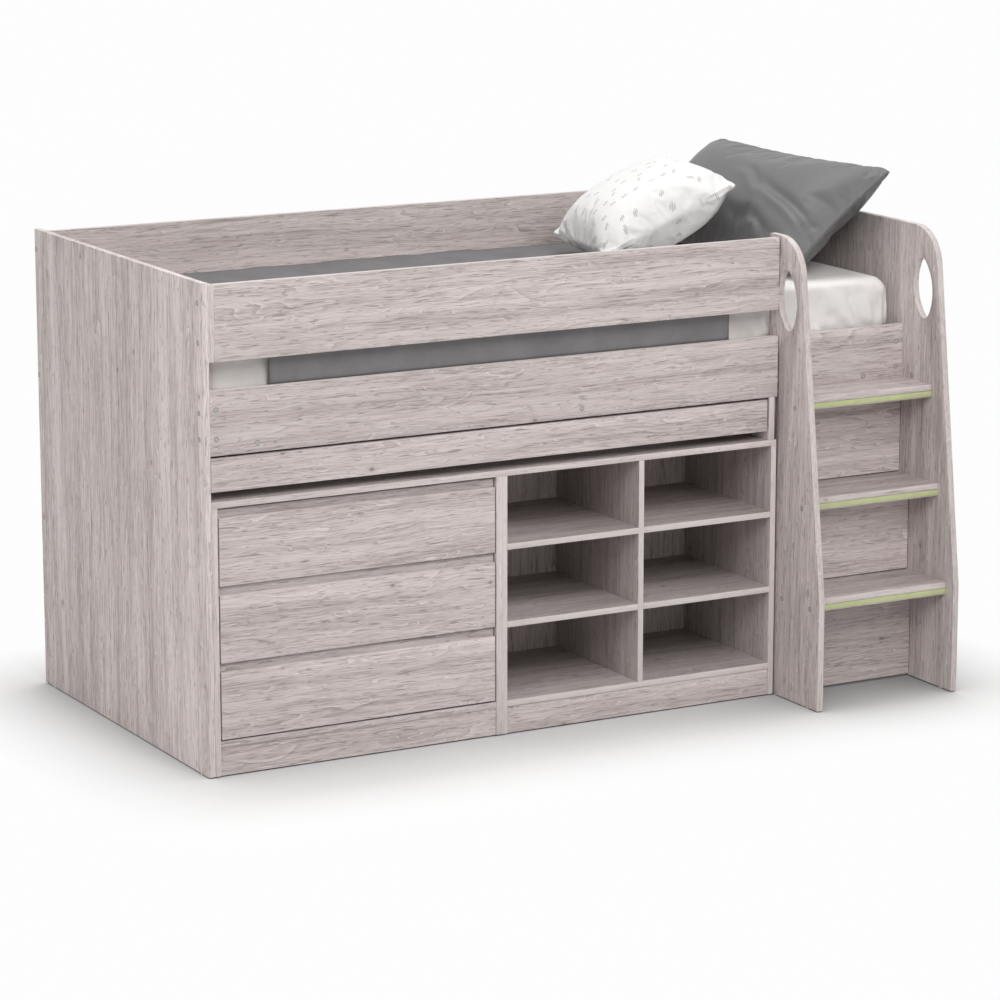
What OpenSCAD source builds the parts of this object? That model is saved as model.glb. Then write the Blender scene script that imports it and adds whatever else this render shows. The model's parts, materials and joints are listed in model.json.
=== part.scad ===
// Mid sleeper bed with a pull-out desk, a drawer chest, cube shelves and a ladder.
// Millimetres, +Z up, +X towards the ladder, +Y towards the wall.
// The origin is on the floor, under the middle of the whole bed.

/* [Overall] */
// Width over both end panels
overall_w = 1960; // [1900:5:2200]
// Depth from the wall to the ladder's front edge
overall_d = 1180; // [1150:5:1300]
// How far the end panels stand above the guard rail
panel_rise = 5; // [0:1:20]

/* [Boards] */
// Thickness of the bed's own boards
board_t = 16; // [15:0.5:19]
// Thickness of the cabinet boards
cab_t = 15; // [12:0.5:18]
// Thickness of the thin backs and drawer bases
thin_t = 3; // [3:0.5:5]
// Shadow gap between the front boards and the ladder side panel
end_gap = 4; // [2:0.5:8]

/* [Ladder] */
// How far the ladder stands out in front of the front rail
ladder_out = 195; // [185:1:230]
// Clear width between the two ladder sides
ladder_w = 383; // [350:1:450]
// Radius of the round top corner
corner_r = 101; // [60:1:110]
// Height at which the front edge starts to slope back
slope_z = 275; // [150:5:400]
// How far the front edge has sloped back at the top, before the corner is rounded
slope_run = 113; // [60:1:130]
// Width of the oval hand hole
hole_w = 80; // [60:1:90]
// Height of the oval hand hole
hole_h = 150; // [120:1:180]
// Radius of the oval's ends
hole_end_r = 21.3; // [15:0.1:28]
// Distance of the oval's centre from the ladder's front edge line
hole_in = 161; // [150:1:180]
// Distance of the oval's centre below the panel's top
hole_down = 155; // [130:1:200]
// Height from one tread to the next
step_rise = 243.5; // [200:0.5:260]
// Front edge of the upper tread, behind the ladder's front line
upper_tread_in = 113; // [90:1:150]
// Front edge of the middle tread, behind the ladder's front line
middle_tread_in = 76; // [50:1:100]
// Front edge of the lower tread, behind the ladder's front line
lower_tread_in = 33; // [10:1:50]
// Face of the middle riser, behind the ladder's front line
middle_riser_in = 198; // [160:1:215]
// Face of the lower riser, behind the ladder's front line
lower_riser_in = 181; // [150:1:195]
// Shadow gap at the foot and at the right end of a riser
riser_gap = 2.5; // [1:0.5:5]
// Gap between the lower riser and the floor
riser_lift = 8; // [4:1:30]
// Height of the battens under the treads
batten_h = 16; // [12:1:24]
// Depth of the batten under a tread's front edge
nose_d = 12; // [10:1:20]
// Depth of the batten in front of a riser
heel_d = 30; // [20:1:40]
// Height of the glow strip
glow_h = 13; // [8:0.5:15]
// Thickness of the glow strip
glow_t = 1.5; // [1:0.5:3]

/* [Mattress box] */
// Height of the front side rail
front_rail_h = 150; // [120:1:180]
// Height of the main rail, which stands behind the front one
main_rail_h = 150; // [120:1:180]
// How far the main rail stands behind the front plane
rail_in = 48; // [40:1:60]
// How much lower the main rail is than the front rail
rail_drop = 9; // [0:1:14]
// Height of the open slot under the guard rail
slot_h = 66; // [55:1:80]
// Height of the guard rail
guard_h = 177; // [140:1:200]
// Height of the board behind the mattress
back_board_h = 400; // [350:1:404]
// Width of the upright block at the guard's left end
guard_block_w = 15; // [12:1:20]
// Depth of the upright block at the guard's left end
guard_block_d = 48; // [30:1:48]
// Length of the block behind the front rail's left end
end_block_w = 30; // [25:1:40]
// Height of the block behind the front rail's left end
end_block_h = 134; // [100:1:140]
// Distance from the left panel to the middle of the first spacer
spacer_1 = 117.5; // [80:0.5:200]
// Distance from the left panel to the middle of the second spacer
spacer_2 = 972; // [700:1:1100]
// Width of a spacer block
spacer_w = 40; // [30:1:60]
// Height of a spacer block
spacer_h = 44; // [35:1:80]

/* [Slats] */
// Number of slats
slat_n = 13; // [10:1:16]
// Width of a slat
slat_w = 70; // [50:1:90]
// Thickness of a slat
slat_t = 15; // [12:1:20]
// Clear distance from an end panel to the first slat
slat_in = 44; // [20:1:80]
// Clearance at each end of a slat
slat_gap = 2; // [1:0.5:5]
// Depth of a slat ledger
ledger_d = 20; // [15:1:30]
// Height of a slat ledger
ledger_h = 30; // [20:1:40]
// How far the slats' top lies below the main rail's top
slat_sink = 33; // [20:1:60]

/* [Cabinets] */
// Depth of both cabinets with their backs
cab_d = 405; // [350:1:450]
// Width of the drawer chest
chest_w = 754; // [650:1:850]
// Height of the plinth's top edge above the floor
plinth_z = 70; // [50:1:90]
// How far the plinth is set back
plinth_in = 3; // [0:1:20]
// Height of the lower cubes
cubby_low = 180; // [150:1:220]
// Height of the middle cubes
cubby_mid = 175; // [150:1:220]
// Height of the upper cubes
cubby_top = 165; // [150:1:220]

/* [Drawers] */
// Gap below the lowest drawer front and above the highest
front_gap = 4; // [2:0.5:6]
// Gap between one drawer front and the next
drawer_gap = 2.5; // [1.5:0.5:4]
// Gap at each side of a drawer front
side_gap = 3.5; // [1.5:0.5:5]
// Thickness of a drawer front
front_t = 16; // [14:0.5:19]
// Height of the finger recess along a front's top edge
finger_h = 20; // [15:1:30]
// Depth of the finger recess
finger_d = 9; // [6:0.5:10]
// Bevel at the recess's lower edge
finger_bevel = 2; // [0.5:0.5:4]
// Thickness of the drawer box boards
box_t = 12; // [10:0.5:15]
// Height of the drawer box boards
box_h = 120; // [90:1:130]
// Gap between a drawer box and the cabinet's back
box_back_gap = 26; // [15:1:80]
// Height of the box's lower edge above the front's lower edge
box_lift = 12; // [10:1:20]
// Height of the base groove above the box's lower edge
groove_z = 10; // [6:1:20]
// Depth of the base groove
groove_d = 6; // [4:0.5:8]

/* [Desk] */
// Finger gap between the cabinet top and the desk front
desk_low_gap = 23; // [18:1:30]
// Height of the desk front
desk_front_h = 78; // [70:1:100]
// Gap between the desk front and the front rail
desk_high_gap = 6; // [4:0.5:10]
// Gap at the left end of the desk front
desk_left_gap = 1; // [0.5:0.5:4]
// Gap between the desk front and the upright at its right
desk_right_gap = 5; // [2:0.5:8]
// Depth of the desk top behind its front
desk_d = 450; // [400:5:500]
// Thickness of the desk top
desk_t = 15; // [12:0.5:18]
// How far the desk top lies below the front's top edge
desk_top_drop = 8; // [6:1:15]
// Distance from the right end of the cabinet top to the upright
upright_in = 7; // [0:1:30]

/* [Runners] */
// Height of the desk's runners
runner_h = 42; // [35:1:45]
// Height of the drawers' runners
drawer_runner_h = 28; // [24:1:40]
// Distance from the desk runners' rear ends to the upright's rear edge
desk_runner_end = 5; // [2:1:20]
// Distance from the drawer runners' rear ends to the drawer box's back
drawer_runner_end = 6; // [2:1:40]
// Space that a runner fills between two boards
runner_t = 12.5; // [12:0.1:13]
// Sheet thickness of a runner member
sheet_t = 1.4; // [1:0.1:2]
// Running clearance between two members
run_gap = 0.3; // [0.2:0.05:0.5]
// Distance of a runner's front end behind the front it serves
runner_in = 4; // [2:1:10]

/* [Fasteners] */
// Diameter of a screw cap
cap_d = 13; // [10:0.5:14]
// Thickness of a screw cap
cap_t = 0.6; // [0.4:0.1:1]
// Diameter of a dowel
dowel_d = 8; // [6:1:10]
// Depth of a dowel in a rail's end
dowel_in = 24; // [18:1:30]
// Depth of a dowel in the ladder side panel
dowel_side = 11; // [8:1:12]
// Distance of a dowel from the rail's edge
dowel_edge = 38; // [25:1:50]
// Clearance round a dowel
dowel_gap = 0.05; // [0.02:0.01:0.1]
// Diameter of a floor glide
glide_d = 14; // [10:0.5:14]
// Height of a floor glide
glide_h = 3; // [2:0.5:5]
// Distance from a panel's corner to the middle of its glide
glide_in = 50; // [30:1:100]

/* [Bedding] */
// Gap between the mattress and each end panel
mattress_end_gap = 14; // [5:1:40]
// Gap between the mattress and the main rail, and between it and the back board
mattress_side_gap = 2.5; // [1:0.5:20]
// Thickness of the mattress
mattress_t = 150; // [120:1:180]
// Radius of the mattress's upright corners
mattress_r = 45; // [30:1:80]
// Softness of the mattress's long edges
mattress_edge = 26; // [10:1:40]
// Clearance under a soft piece
soft_gap = 0.3; // [0.2:0.05:0.5]
// Thickness of the throw
throw_t = 5; // [3:0.5:8]
// Height of the throw's front hem above the main rail
hem_gap = 1; // [0.5:0.5:20]
// Distance from the left panel to the throw
throw_x = 174; // [100:1:400]
// Width of the throw along the bed
throw_w = 1239; // [900:1:1400]
// Depth of the throw's folds at the hem
throw_fold = 13; // [0:1:20]
// Distance from one fold of the throw to the next
throw_pitch = 178; // [100:1:300]
// Half length of the grey pillow
grey_a = 414; // [300:1:420]
// Half height of the grey pillow
grey_b = 186; // [150:1:200]
// Half thickness of the grey pillow
grey_c = 84; // [60:1:86]
// How far the grey pillow leans up from flat, in degrees
grey_lean = 39; // [25:1:45]
// Distance of the grey pillow's middle from the mattress's middle line
grey_side = 22; // [0:1:25]
// Half length of the white pillow
white_a = 195; // [150:1:205]
// Half width of the white pillow
white_b = 190; // [120:1:220]
// Half thickness of the white pillow
white_c = 96; // [40:1:98]
// How far the white pillow leans up from flat, in degrees
white_lean = 25; // [15:1:30]
// Distance of the white pillow's middle from the right panel
white_in = 438; // [434:1:500]
// Distance of the white pillow's middle from the mattress's middle line
white_side = 70; // [0:1:150]

/* [Hidden] */
$fn = 64;

wood = [0.78, 0.745, 0.73];
wood_dim = [0.70, 0.665, 0.65];
steel = [0.72, 0.73, 0.75];
glow = [0.70, 0.78, 0.46];
white = [0.93, 0.92, 0.90];
grey = [0.45, 0.45, 0.46];

// Planes across the width
x_left = -overall_w / 2;
x_right = overall_w / 2;
x_in = x_left + board_t;
x_rin = x_right - board_t;
x_lad = x_rin - ladder_w;
x_lad_out = x_lad - board_t;
x_end = x_lad_out - end_gap;

// Planes across the depth
y_wall = overall_d / 2;
y_lad = -overall_d / 2;
y_front = y_lad + ladder_out;
y_rail = y_front + rail_in;
y_rail_back = y_rail + board_t;
y_front_back = y_front + board_t;
y_cab = y_front + cab_d;
y_cab_in = y_cab - thin_t;

// Levels, each stacked on the one below
z_base = plinth_z + cab_t;
z_shelf_1 = z_base + cubby_low;
z_shelf_2 = z_shelf_1 + cab_t + cubby_mid;
z_under_top = z_shelf_2 + cab_t + cubby_top;
z_cab = z_under_top + cab_t;
z_desk = z_cab + desk_low_gap;
z_desk_up = z_desk + desk_front_h;
z_front_rail = z_desk_up + desk_high_gap;
z_main_rail = z_front_rail - rail_drop;
z_main_up = z_main_rail + main_rail_h;
z_slot = z_front_rail + front_rail_h;
z_guard = z_slot + slot_h;
z_guard_up = z_guard + guard_h;
panel_h = z_guard_up + panel_rise;
z_slats = z_main_up - slat_sink;
z_mattress_up = z_slats + mattress_t;

// Desk upright and desk top
x_upright = x_end - upright_in - board_t;
z_desk_top = z_desk_up - desk_top_drop - desk_t;
x_desk_l = x_in + runner_t;
x_desk_r = x_upright - runner_t;
y_desk_back = y_front_back + desk_d;
z_desk_runner = (z_desk + z_desk_top - runner_h) / 2;
y_desk_runner = y_front_back + runner_in;
desk_runner_l = y_cab - desk_runner_end - y_desk_runner;

// Cabinets
x_chest_r = x_in + chest_w;
x_chest_in = x_in + cab_t;
x_chest_rin = x_chest_r - cab_t;
x_shelf_in = x_chest_r + cab_t;
x_shelf_rin = x_end - cab_t;
x_div = (x_chest_r + x_end - cab_t) / 2;

// Drawers
drawer_h = (z_under_top - z_base - 2 * front_gap - 2 * drawer_gap) / 3;
drawer_pitch = drawer_h + drawer_gap;
x_box_l = x_chest_in + runner_t;
x_box_r = x_chest_rin - runner_t;
y_box = y_front + front_t;
y_box_back = y_cab_in - box_back_gap;
y_drawer_runner = y_box + runner_in;
drawer_runner_l = y_box_back - drawer_runner_end - y_drawer_runner;

// Treads and risers, from the top down
tread_z = [z_main_rail, z_main_rail - step_rise, z_main_rail - 2 * step_rise];
tread_y = [y_lad + upper_tread_in, y_lad + middle_tread_in, y_lad + lower_tread_in];
riser_y = [y_rail, y_lad + middle_riser_in, y_lad + lower_riser_in];
tread_back = [y_rail, y_rail_back, riser_y[1] + board_t];

// A board between two opposite corners
module board(low, high) {
    translate(low) cube(high - low);
}

// Puts a flat drawing, with its x as depth and its y as height, upright between two x planes
module upright_plate(x_low, x_high) {
    translate([x_low, 0, 0])
        rotate([90, 0, 90])
            linear_extrude(x_high - x_low) children();
}

function z_drawer(i) = z_base + front_gap + i * drawer_pitch;

// End panels and ladder side

// The round corner is tangent to the flat top and to the sloping front edge
slope_angle = atan(slope_run / (panel_h - slope_z));
y_round = y_lad + slope_run + corner_r * tan((90 - slope_angle) / 2);
corner_n = 32;

function corner_point(k) =
    let (a = 180 - slope_angle - (90 - slope_angle) * k / corner_n)
        [y_round + corner_r * cos(a), panel_h - corner_r + corner_r * sin(a)];

module ladder_outline(rear) {
    polygon(concat(
        [[rear, glide_h], [y_lad, glide_h], [y_lad, slope_z]],
        [for (k = [0 : corner_n]) corner_point(k)],
        [[rear, panel_h]]));
}

// Four-arc oval: two wide arcs meet two small ones without a kink. It slopes with the front edge
oval_end = hole_h / 2 - hole_end_r;
oval_side_r = (hole_w * hole_w / 4 + oval_end * oval_end - hole_end_r * hole_end_r)
    / (hole_w - 2 * hole_end_r);
oval_side = oval_side_r - hole_w / 2;
oval_meet = oval_end * oval_side_r / (oval_side_r - hole_end_r);

module hand_hole() {
    translate([y_lad + hole_in, panel_h - hole_down]) rotate(-slope_angle) {
        intersection() {
            translate([oval_side, 0]) circle(r = oval_side_r, $fn = 128);
            translate([-oval_side, 0]) circle(r = oval_side_r, $fn = 128);
            square([hole_w, 2 * oval_meet], center = true);
        }
        for (side = [-1, 1])
            translate([0, side * oval_end]) circle(r = hole_end_r);
    }
}

module left_end_panel() {
    color(wood) board([x_left, y_front, glide_h], [x_in, y_wall, panel_h]);
}

module right_end_panel() {
    color(wood)
        upright_plate(x_rin, x_right)
            difference() {
                ladder_outline(y_wall);
                hand_hole();
            }
}

module ladder_side_panel() {
    color(wood)
        difference() {
            upright_plate(x_lad_out, x_lad)
                difference() {
                    ladder_outline(y_rail);
                    hand_hole();
                }
            dowel_holes();
        }
}

// Dowels across the shadow gap at the right end of the guard and the front rail

dowel_y = y_front + board_t / 2;
dowel_z = [z_front_rail + dowel_edge, z_slot - dowel_edge, z_guard + dowel_edge, z_guard_up - dowel_edge];

module dowels(spare) {
    for (z = dowel_z)
        translate([x_end - dowel_in - spare, dowel_y, z])
            rotate([0, 90, 0])
                cylinder(d = dowel_d + 2 * spare, h = dowel_in + end_gap + dowel_side + 2 * spare, $fn = 32);
}

module dowel_holes() {
    dowels(dowel_gap);
}

module joint_dowels() {
    color("burlywood") dowels(0);
}

// Guard, rails and back board

module guard_rail() {
    color(wood)
        difference() {
            board([x_in + guard_block_w, y_front, z_guard], [x_end, y_front_back, z_guard_up]);
            dowel_holes();
        }
}

module guard_end_block() {
    color(wood_dim)
        board([x_in, y_front, z_guard], [x_in + guard_block_w, y_front + guard_block_d, z_guard_up]);
}

module front_rail() {
    color(wood)
        difference() {
            board([x_in, y_front, z_front_rail], [x_end, y_front_back, z_slot]);
            dowel_holes();
        }
}

module main_rail() {
    color(wood) board([x_in, y_rail, z_main_rail], [x_rin, y_rail_back, z_main_up]);
}

module back_board() {
    color(wood) board([x_in, y_wall - board_t, z_main_rail], [x_rin, y_wall, z_main_rail + back_board_h]);
}

// Blocks that join the front rail to the main rail and to the left panel
module rail_blocks() {
    color(wood_dim) {
        board([x_in, y_front_back, z_main_up - end_block_h], [x_in + end_block_w, y_rail, z_main_up]);
        for (x = [x_in + spacer_1, x_in + spacer_2])
            board([x - spacer_w / 2, y_front_back, z_front_rail], [x + spacer_w / 2, y_rail, z_front_rail + spacer_h]);
    }
}

// Slats

module slat_ledgers() {
    z_low = z_slats - slat_t - ledger_h;
    color(wood_dim)
        for (y = [y_rail_back, y_wall - board_t - ledger_d])
            board([x_in, y, z_low], [x_rin, y + ledger_d, z_low + ledger_h]);
}

module slats() {
    pitch = (x_rin - x_in - 2 * slat_in - slat_w) / (slat_n - 1);
    color("burlywood")
        for (i = [0 : slat_n - 1]) {
            x = x_in + slat_in + i * pitch;
            board([x, y_rail_back + slat_gap, z_slats - slat_t],
                [x + slat_w, y_wall - board_t - slat_gap, z_slats]);
        }
}

// Ladder treads, risers, battens and glow strips

module tread(i) {
    color(wood) board([x_lad, tread_y[i], tread_z[i]], [x_rin, tread_back[i], tread_z[i] + board_t]);
}

module riser(i, x_low, z_low) {
    color(wood_dim) board([x_low, riser_y[i], z_low], [x_rin - riser_gap, riser_y[i] + board_t, tread_z[i]]);
}

module upper_tread() { tread(0); }
module middle_tread() { tread(1); }
module lower_tread() { tread(2); }
module upper_riser() { riser(0, x_lad_out, tread_z[1] + board_t + riser_gap); }
module middle_riser() { riser(1, x_lad, tread_z[2] + board_t + riser_gap); }
module lower_riser() { riser(2, x_lad, riser_lift); }

module tread_battens() {
    color(wood_dim)
        for (i = [0 : 2]) {
            y_nose = tread_y[i] + glow_t;
            z_low = tread_z[i] - batten_h;
            board([x_lad, y_nose, z_low], [x_rin, y_nose + nose_d, tread_z[i]]);
            board([x_lad, riser_y[i] - heel_d, z_low], [x_rin, riser_y[i], tread_z[i]]);
        }
}

module glow_strips() {
    color(glow)
        for (i = [0 : 2])
            board([x_lad, tread_y[i], tread_z[i] - glow_h], [x_rin, tread_y[i] + glow_t, tread_z[i]]);
}

// Runner members: channels that nest with a running clearance

// A channel with its web on the x = 0 side, open towards +x
module channel(depth, height, length) {
    cube([sheet_t, length, height]);
    for (z = [0, height - sheet_t])
        translate([0, 0, z]) cube([depth, length, sheet_t]);
}

// step counts the members outside this one; web_out puts the web on the carried board's side
module runner_member(step, web_out, height, length, reach) {
    inset = step * (sheet_t + run_gap);
    translate([inset, 0, inset])
        if (web_out)
            translate([reach, 0, 0]) mirror([1, 0, 0]) channel(reach, height - 2 * inset, length);
        else
            channel(reach, height - 2 * inset, length);
}

// One member on each side: the left one as drawn, the right one mirrored
module runner_pair(x_low, x_high, y, z) {
    translate([x_low, y, z]) children();
    translate([x_high, y, z]) mirror([1, 0, 0]) children();
}

member_step = sheet_t + run_gap;

// Desk

module desk_front() {
    color(wood)
        board([x_in + desk_left_gap, y_front, z_desk], [x_upright - desk_right_gap, y_front_back, z_desk_up]);
}

module desk_top() {
    color(wood) board([x_desk_l, y_front_back, z_desk_top], [x_desk_r, y_desk_back, z_desk_top + desk_t]);
}

module desk_battens() {
    color(wood_dim) {
        board([x_desk_l, y_front_back, z_desk], [x_desk_l + cab_t, y_desk_back, z_desk_top]);
        board([x_desk_r - cab_t, y_front_back, z_desk], [x_desk_r, y_desk_back, z_desk_top]);
    }
}

module desk_runners_fixed() {
    color(steel)
        runner_pair(x_in, x_upright, y_desk_runner, z_desk_runner)
            runner_member(0, false, runner_h, desk_runner_l, runner_t - 2 * member_step);
}

module desk_runners_middle() {
    color(steel)
        runner_pair(x_in, x_upright, y_desk_runner, z_desk_runner)
            runner_member(1, false, runner_h, desk_runner_l, runner_t - 2 * member_step);
}

module desk_runners_inner() {
    color(steel)
        runner_pair(x_in, x_upright, y_desk_runner, z_desk_runner)
            runner_member(2, true, runner_h, desk_runner_l, runner_t - 2 * member_step);
}

// The small board at the desk's right end stands on the cabinet top and meets both rails
module desk_upright() {
    color(wood)
        upright_plate(x_upright, x_upright + board_t)
            polygon([
                [y_front, z_cab], [y_cab, z_cab], [y_cab, z_main_rail],
                [y_front_back, z_main_rail], [y_front_back, z_front_rail], [y_front, z_front_rail]]);
}

// Cabinet top over both cabinets

module cabinet_top() {
    color(wood) board([x_in, y_front, z_under_top], [x_end, y_cab, z_cab]);
}

// Drawer chest

module side_board(x) {
    board([x, y_front, glide_h], [x + cab_t, y_cab_in, z_under_top]);
}

module chest_sides() {
    color(wood) {
        side_board(x_in);
        side_board(x_chest_rin);
    }
}

module chest_bottom() {
    color(wood) board([x_chest_in, y_front, plinth_z], [x_chest_rin, y_cab_in, z_base]);
}

module plinth(x_low, x_high) {
    y_face = y_front + plinth_in;
    board([x_low, y_face, glide_h], [x_high, y_face + cab_t, plinth_z]);
}

module chest_plinth() {
    color(wood) plinth(x_chest_in, x_chest_rin);
}

module chest_back() {
    color(wood_dim) board([x_in, y_cab_in, plinth_z], [x_chest_r, y_cab, z_under_top]);
}

module drawer_runners_fixed() {
    color(steel)
        for (i = [0 : 2])
            runner_pair(x_chest_in, x_chest_rin, y_drawer_runner, z_drawer(i) + box_lift)
                runner_member(0, false, drawer_runner_h, drawer_runner_l, runner_t - member_step);
}

// A drawer front: flat face, bevelled edge, then a set-back band for the fingers
module drawer_front(i) {
    z = z_drawer(i);
    z_band = z + drawer_h - finger_h;
    color(wood)
        difference() {
            upright_plate(x_chest_in + side_gap, x_chest_rin - side_gap)
                polygon([
                    [y_front, z], [y_front, z_band - finger_bevel],
                    [y_front + finger_bevel, z_band], [y_front + finger_d, z_band],
                    [y_front + finger_d, z + drawer_h], [y_box, z + drawer_h], [y_box, z]]);
            drawer_base_shape(i);
        }
}

// The base reaches into the grooves of the sides and the front
module drawer_base_shape(i) {
    z = z_drawer(i) + box_lift + groove_z;
    board([x_box_l + box_t - groove_d, y_box - groove_d, z],
        [x_box_r - box_t + groove_d, y_box_back, z + thin_t]);
}

module drawer_box(i) {
    z = z_drawer(i) + box_lift;
    z_base_up = z + groove_z + thin_t;
    color(wood_dim)
        difference() {
            union() {
                board([x_box_l, y_box, z], [x_box_l + box_t, y_box_back, z + box_h]);
                board([x_box_r - box_t, y_box, z], [x_box_r, y_box_back, z + box_h]);
                board([x_box_l + box_t, y_box_back - box_t, z_base_up],
                    [x_box_r - box_t, y_box_back, z + box_h]);
            }
            drawer_base_shape(i);
        }
}

module drawer_base(i) {
    color(wood_dim) drawer_base_shape(i);
}

module drawer_runners(i) {
    color(steel)
        runner_pair(x_chest_in, x_chest_rin, y_drawer_runner, z_drawer(i) + box_lift)
            runner_member(1, true, drawer_runner_h, drawer_runner_l, runner_t - member_step);
}

module drawer_bottom_front() { drawer_front(0); }
module drawer_bottom_box() { drawer_box(0); }
module drawer_bottom_base() { drawer_base(0); }
module drawer_bottom_runners() { drawer_runners(0); }
module drawer_middle_front() { drawer_front(1); }
module drawer_middle_box() { drawer_box(1); }
module drawer_middle_base() { drawer_base(1); }
module drawer_middle_runners() { drawer_runners(1); }
module drawer_top_front() { drawer_front(2); }
module drawer_top_box() { drawer_box(2); }
module drawer_top_base() { drawer_base(2); }
module drawer_top_runners() { drawer_runners(2); }

// Cube shelves

module shelf_sides() {
    color(wood) {
        side_board(x_chest_r);
        side_board(x_shelf_rin);
    }
}

module shelf_bottom() {
    color(wood) board([x_shelf_in, y_front, plinth_z], [x_shelf_rin, y_cab_in, z_base]);
}

module shelf_plinth() {
    color(wood) plinth(x_shelf_in, x_shelf_rin);
}

module shelf_divider() {
    color(wood) board([x_div, y_front, z_base], [x_div + cab_t, y_cab_in, z_under_top]);
}

module shelves() {
    color(wood)
        for (z = [z_shelf_1, z_shelf_2], bay = [[x_shelf_in, x_div], [x_div + cab_t, x_shelf_rin]])
            board([bay[0], y_front, z], [bay[1], y_cab_in, z + cab_t]);
}

module shelf_back() {
    color(wood_dim) board([x_chest_r, y_cab_in, plinth_z], [x_end, y_cab, z_under_top]);
}

// Bedding

mattress_l = x_rin - x_in - 2 * mattress_end_gap;
y_mattress_front = y_rail_back + mattress_side_gap;
y_mattress_back = y_wall - board_t - mattress_side_gap;
mattress_w = y_mattress_back - y_mattress_front;
y_mattress = (y_mattress_front + y_mattress_back) / 2;
mattress_levels = 16;

// Half of a super-ellipse: flat faces with soft shoulders, for t from 0 at the bottom to 1 at the top
function soft_power(v) = sign(v) * pow(abs(v), 0.5);
function soft_z(t) = mattress_t / 2 * (1 - soft_power(cos(180 * t)));
function soft_inset(t) = mattress_edge * (1 - soft_power(sin(180 * t)));

function corner_points(half_l, half_w, r, n) = [
    for (q = [0 : 3], k = [0 : n])
        let (a = 90 * q + 90 * k / n, sx = (q == 0 || q == 3) ? 1 : -1, sy = q < 2 ? 1 : -1)
            [sx * (half_l - r) + r * cos(a), sy * (half_w - r) + r * sin(a)]];

module mattress() {
    per_corner = 8;
    ring_n = 4 * (per_corner + 1);
    points = [
        for (level = [0 : mattress_levels])
            let (t = level / mattress_levels, inset = soft_inset(t), z = z_slats + soft_z(t))
                for (p = corner_points(mattress_l / 2 - inset, mattress_w / 2 - inset, mattress_r - inset / 2, per_corner))
                    [p[0], p[1] + y_mattress, z]];
    walls = [
        for (level = [0 : mattress_levels - 1], k = [0 : ring_n - 1])
            let (a = level * ring_n + k, b = level * ring_n + (k + 1) % ring_n)
                each [[a, b + ring_n, b], [a, a + ring_n, b + ring_n]]];
    floor_face = [[for (k = [0 : ring_n - 1]) k]];
    top_face = [[for (k = [ring_n - 1 : -1 : 0]) mattress_levels * ring_n + k]];
    color(white) polyhedron(points, concat(walls, floor_face, top_face));
}

// The throw lies on the mattress and hangs over its front edge in shallow folds

throw_n = 44;
throw_round = mattress_levels / 2;
throw_m = throw_round + 4;
z_hem = z_main_up + hem_gap;

// The line that the throw follows from the wall to its front hem, with the turn at each point.
// Round the edge it has the mattress's own levels, so the two never cross
function throw_line(j) =
    j == 0 ? [y_mattress_back - mattress_edge, z_mattress_up, 0] :
    j <= throw_round + 1 ?
        let (t = 1 - (j - 1) / mattress_levels)
            [y_mattress_front + soft_inset(t), z_slats + soft_z(t), 90 * (j - 1) / throw_round] :
    j == throw_round + 2 ? [y_mattress_front, (z_slats + mattress_t / 2 + z_hem) / 2, 90] :
        [y_mattress_front, z_hem, 90];

function throw_hang(j) = max(0, (z_mattress_up - throw_line(j)[1]) / (z_mattress_up - z_hem));

function throw_point(i, j, out) =
    let (
        x = x_in + throw_x + throw_w * i / throw_n,
        base = throw_line(j),
        turn = 360 * (x - x_in) / throw_pitch,
        fold = throw_fold * throw_hang(j) * (0.5 + 0.35 * sin(turn) + 0.15 * sin(2.3 * turn + 40)),
        off = soft_gap + fold + out)
            [x, base[0] - off * sin(base[2]), base[1] + off * cos(base[2])];

module throw() {
    ring_n = 2 * throw_m;
    points = [
        for (i = [0 : throw_n])
            each concat(
                [for (j = [0 : throw_m - 1]) throw_point(i, j, 0)],
                [for (j = [throw_m - 1 : -1 : 0]) throw_point(i, j, throw_t)])];
    walls = [
        for (i = [0 : throw_n - 1], k = [0 : ring_n - 1])
            let (a = i * ring_n + k, b = i * ring_n + (k + 1) % ring_n)
                each [[a, b, b + ring_n], [a, b + ring_n, a + ring_n]]];
    ends = [
        for (j = [0 : throw_m - 2], last = [0, throw_n * ring_n])
            let (a = last + j, b = last + j + 1, c = last + ring_n - 2 - j, d = last + ring_n - 1 - j)
                each last == 0 ? [[a, d, c], [a, c, b]] : [[a, b, c], [a, c, d]]];
    color(grey) polyhedron(points, concat(walls, ends));
}

// A pillow: its sides are drawn in between the corners and its two faces are crowned

pillow_n = 22;
pillow_drawn = 0.05;

function pillow_u(k) = sin(90 * (2 * k / pillow_n - 1));

function pillow_flat(a, b, c, k, l, face) =
    let (u = pillow_u(k), v = pillow_u(l))
        [
            a * u * (1 - pillow_drawn * (1 - v * v)),
            b * v * (1 - pillow_drawn * (1 - u * u)),
            face * c * pow(max(0, (1 - pow(u, 4)) * (1 - pow(v, 4))), 0.62)];

function turned(p, angle) =
    [p[0] * cos(angle) - p[1] * sin(angle), p[0] * sin(angle) + p[1] * cos(angle), p[2]];

function leaned(p, angle) =
    [p[0] * cos(angle) - p[2] * sin(angle), p[1], p[0] * sin(angle) + p[2] * cos(angle)];

// Both faces as a list of grid points: the upper one first, then the lower one
function pillow_grid(a, b, c, spin, lean, turn) = [
    for (face = [1, -1], k = [0 : pillow_n], l = [0 : pillow_n])
        turned(leaned(turned(pillow_flat(a, b, c, k, l, face), spin), lean), turn)];

function grid_index(k, l, lower) = (lower * (pillow_n + 1) + k) * (pillow_n + 1) + l;

function lowest(points) = min([for (p = points) p[2]]);

// Where the edge from p to q crosses the level z
function crossing(p, q, z) =
    (p[2] - z) * (q[2] - z) < 0 ? p[0] + (q[0] - p[0]) * (z - p[2]) / (q[2] - p[2]) : min(p[0], q[0]);

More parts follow.
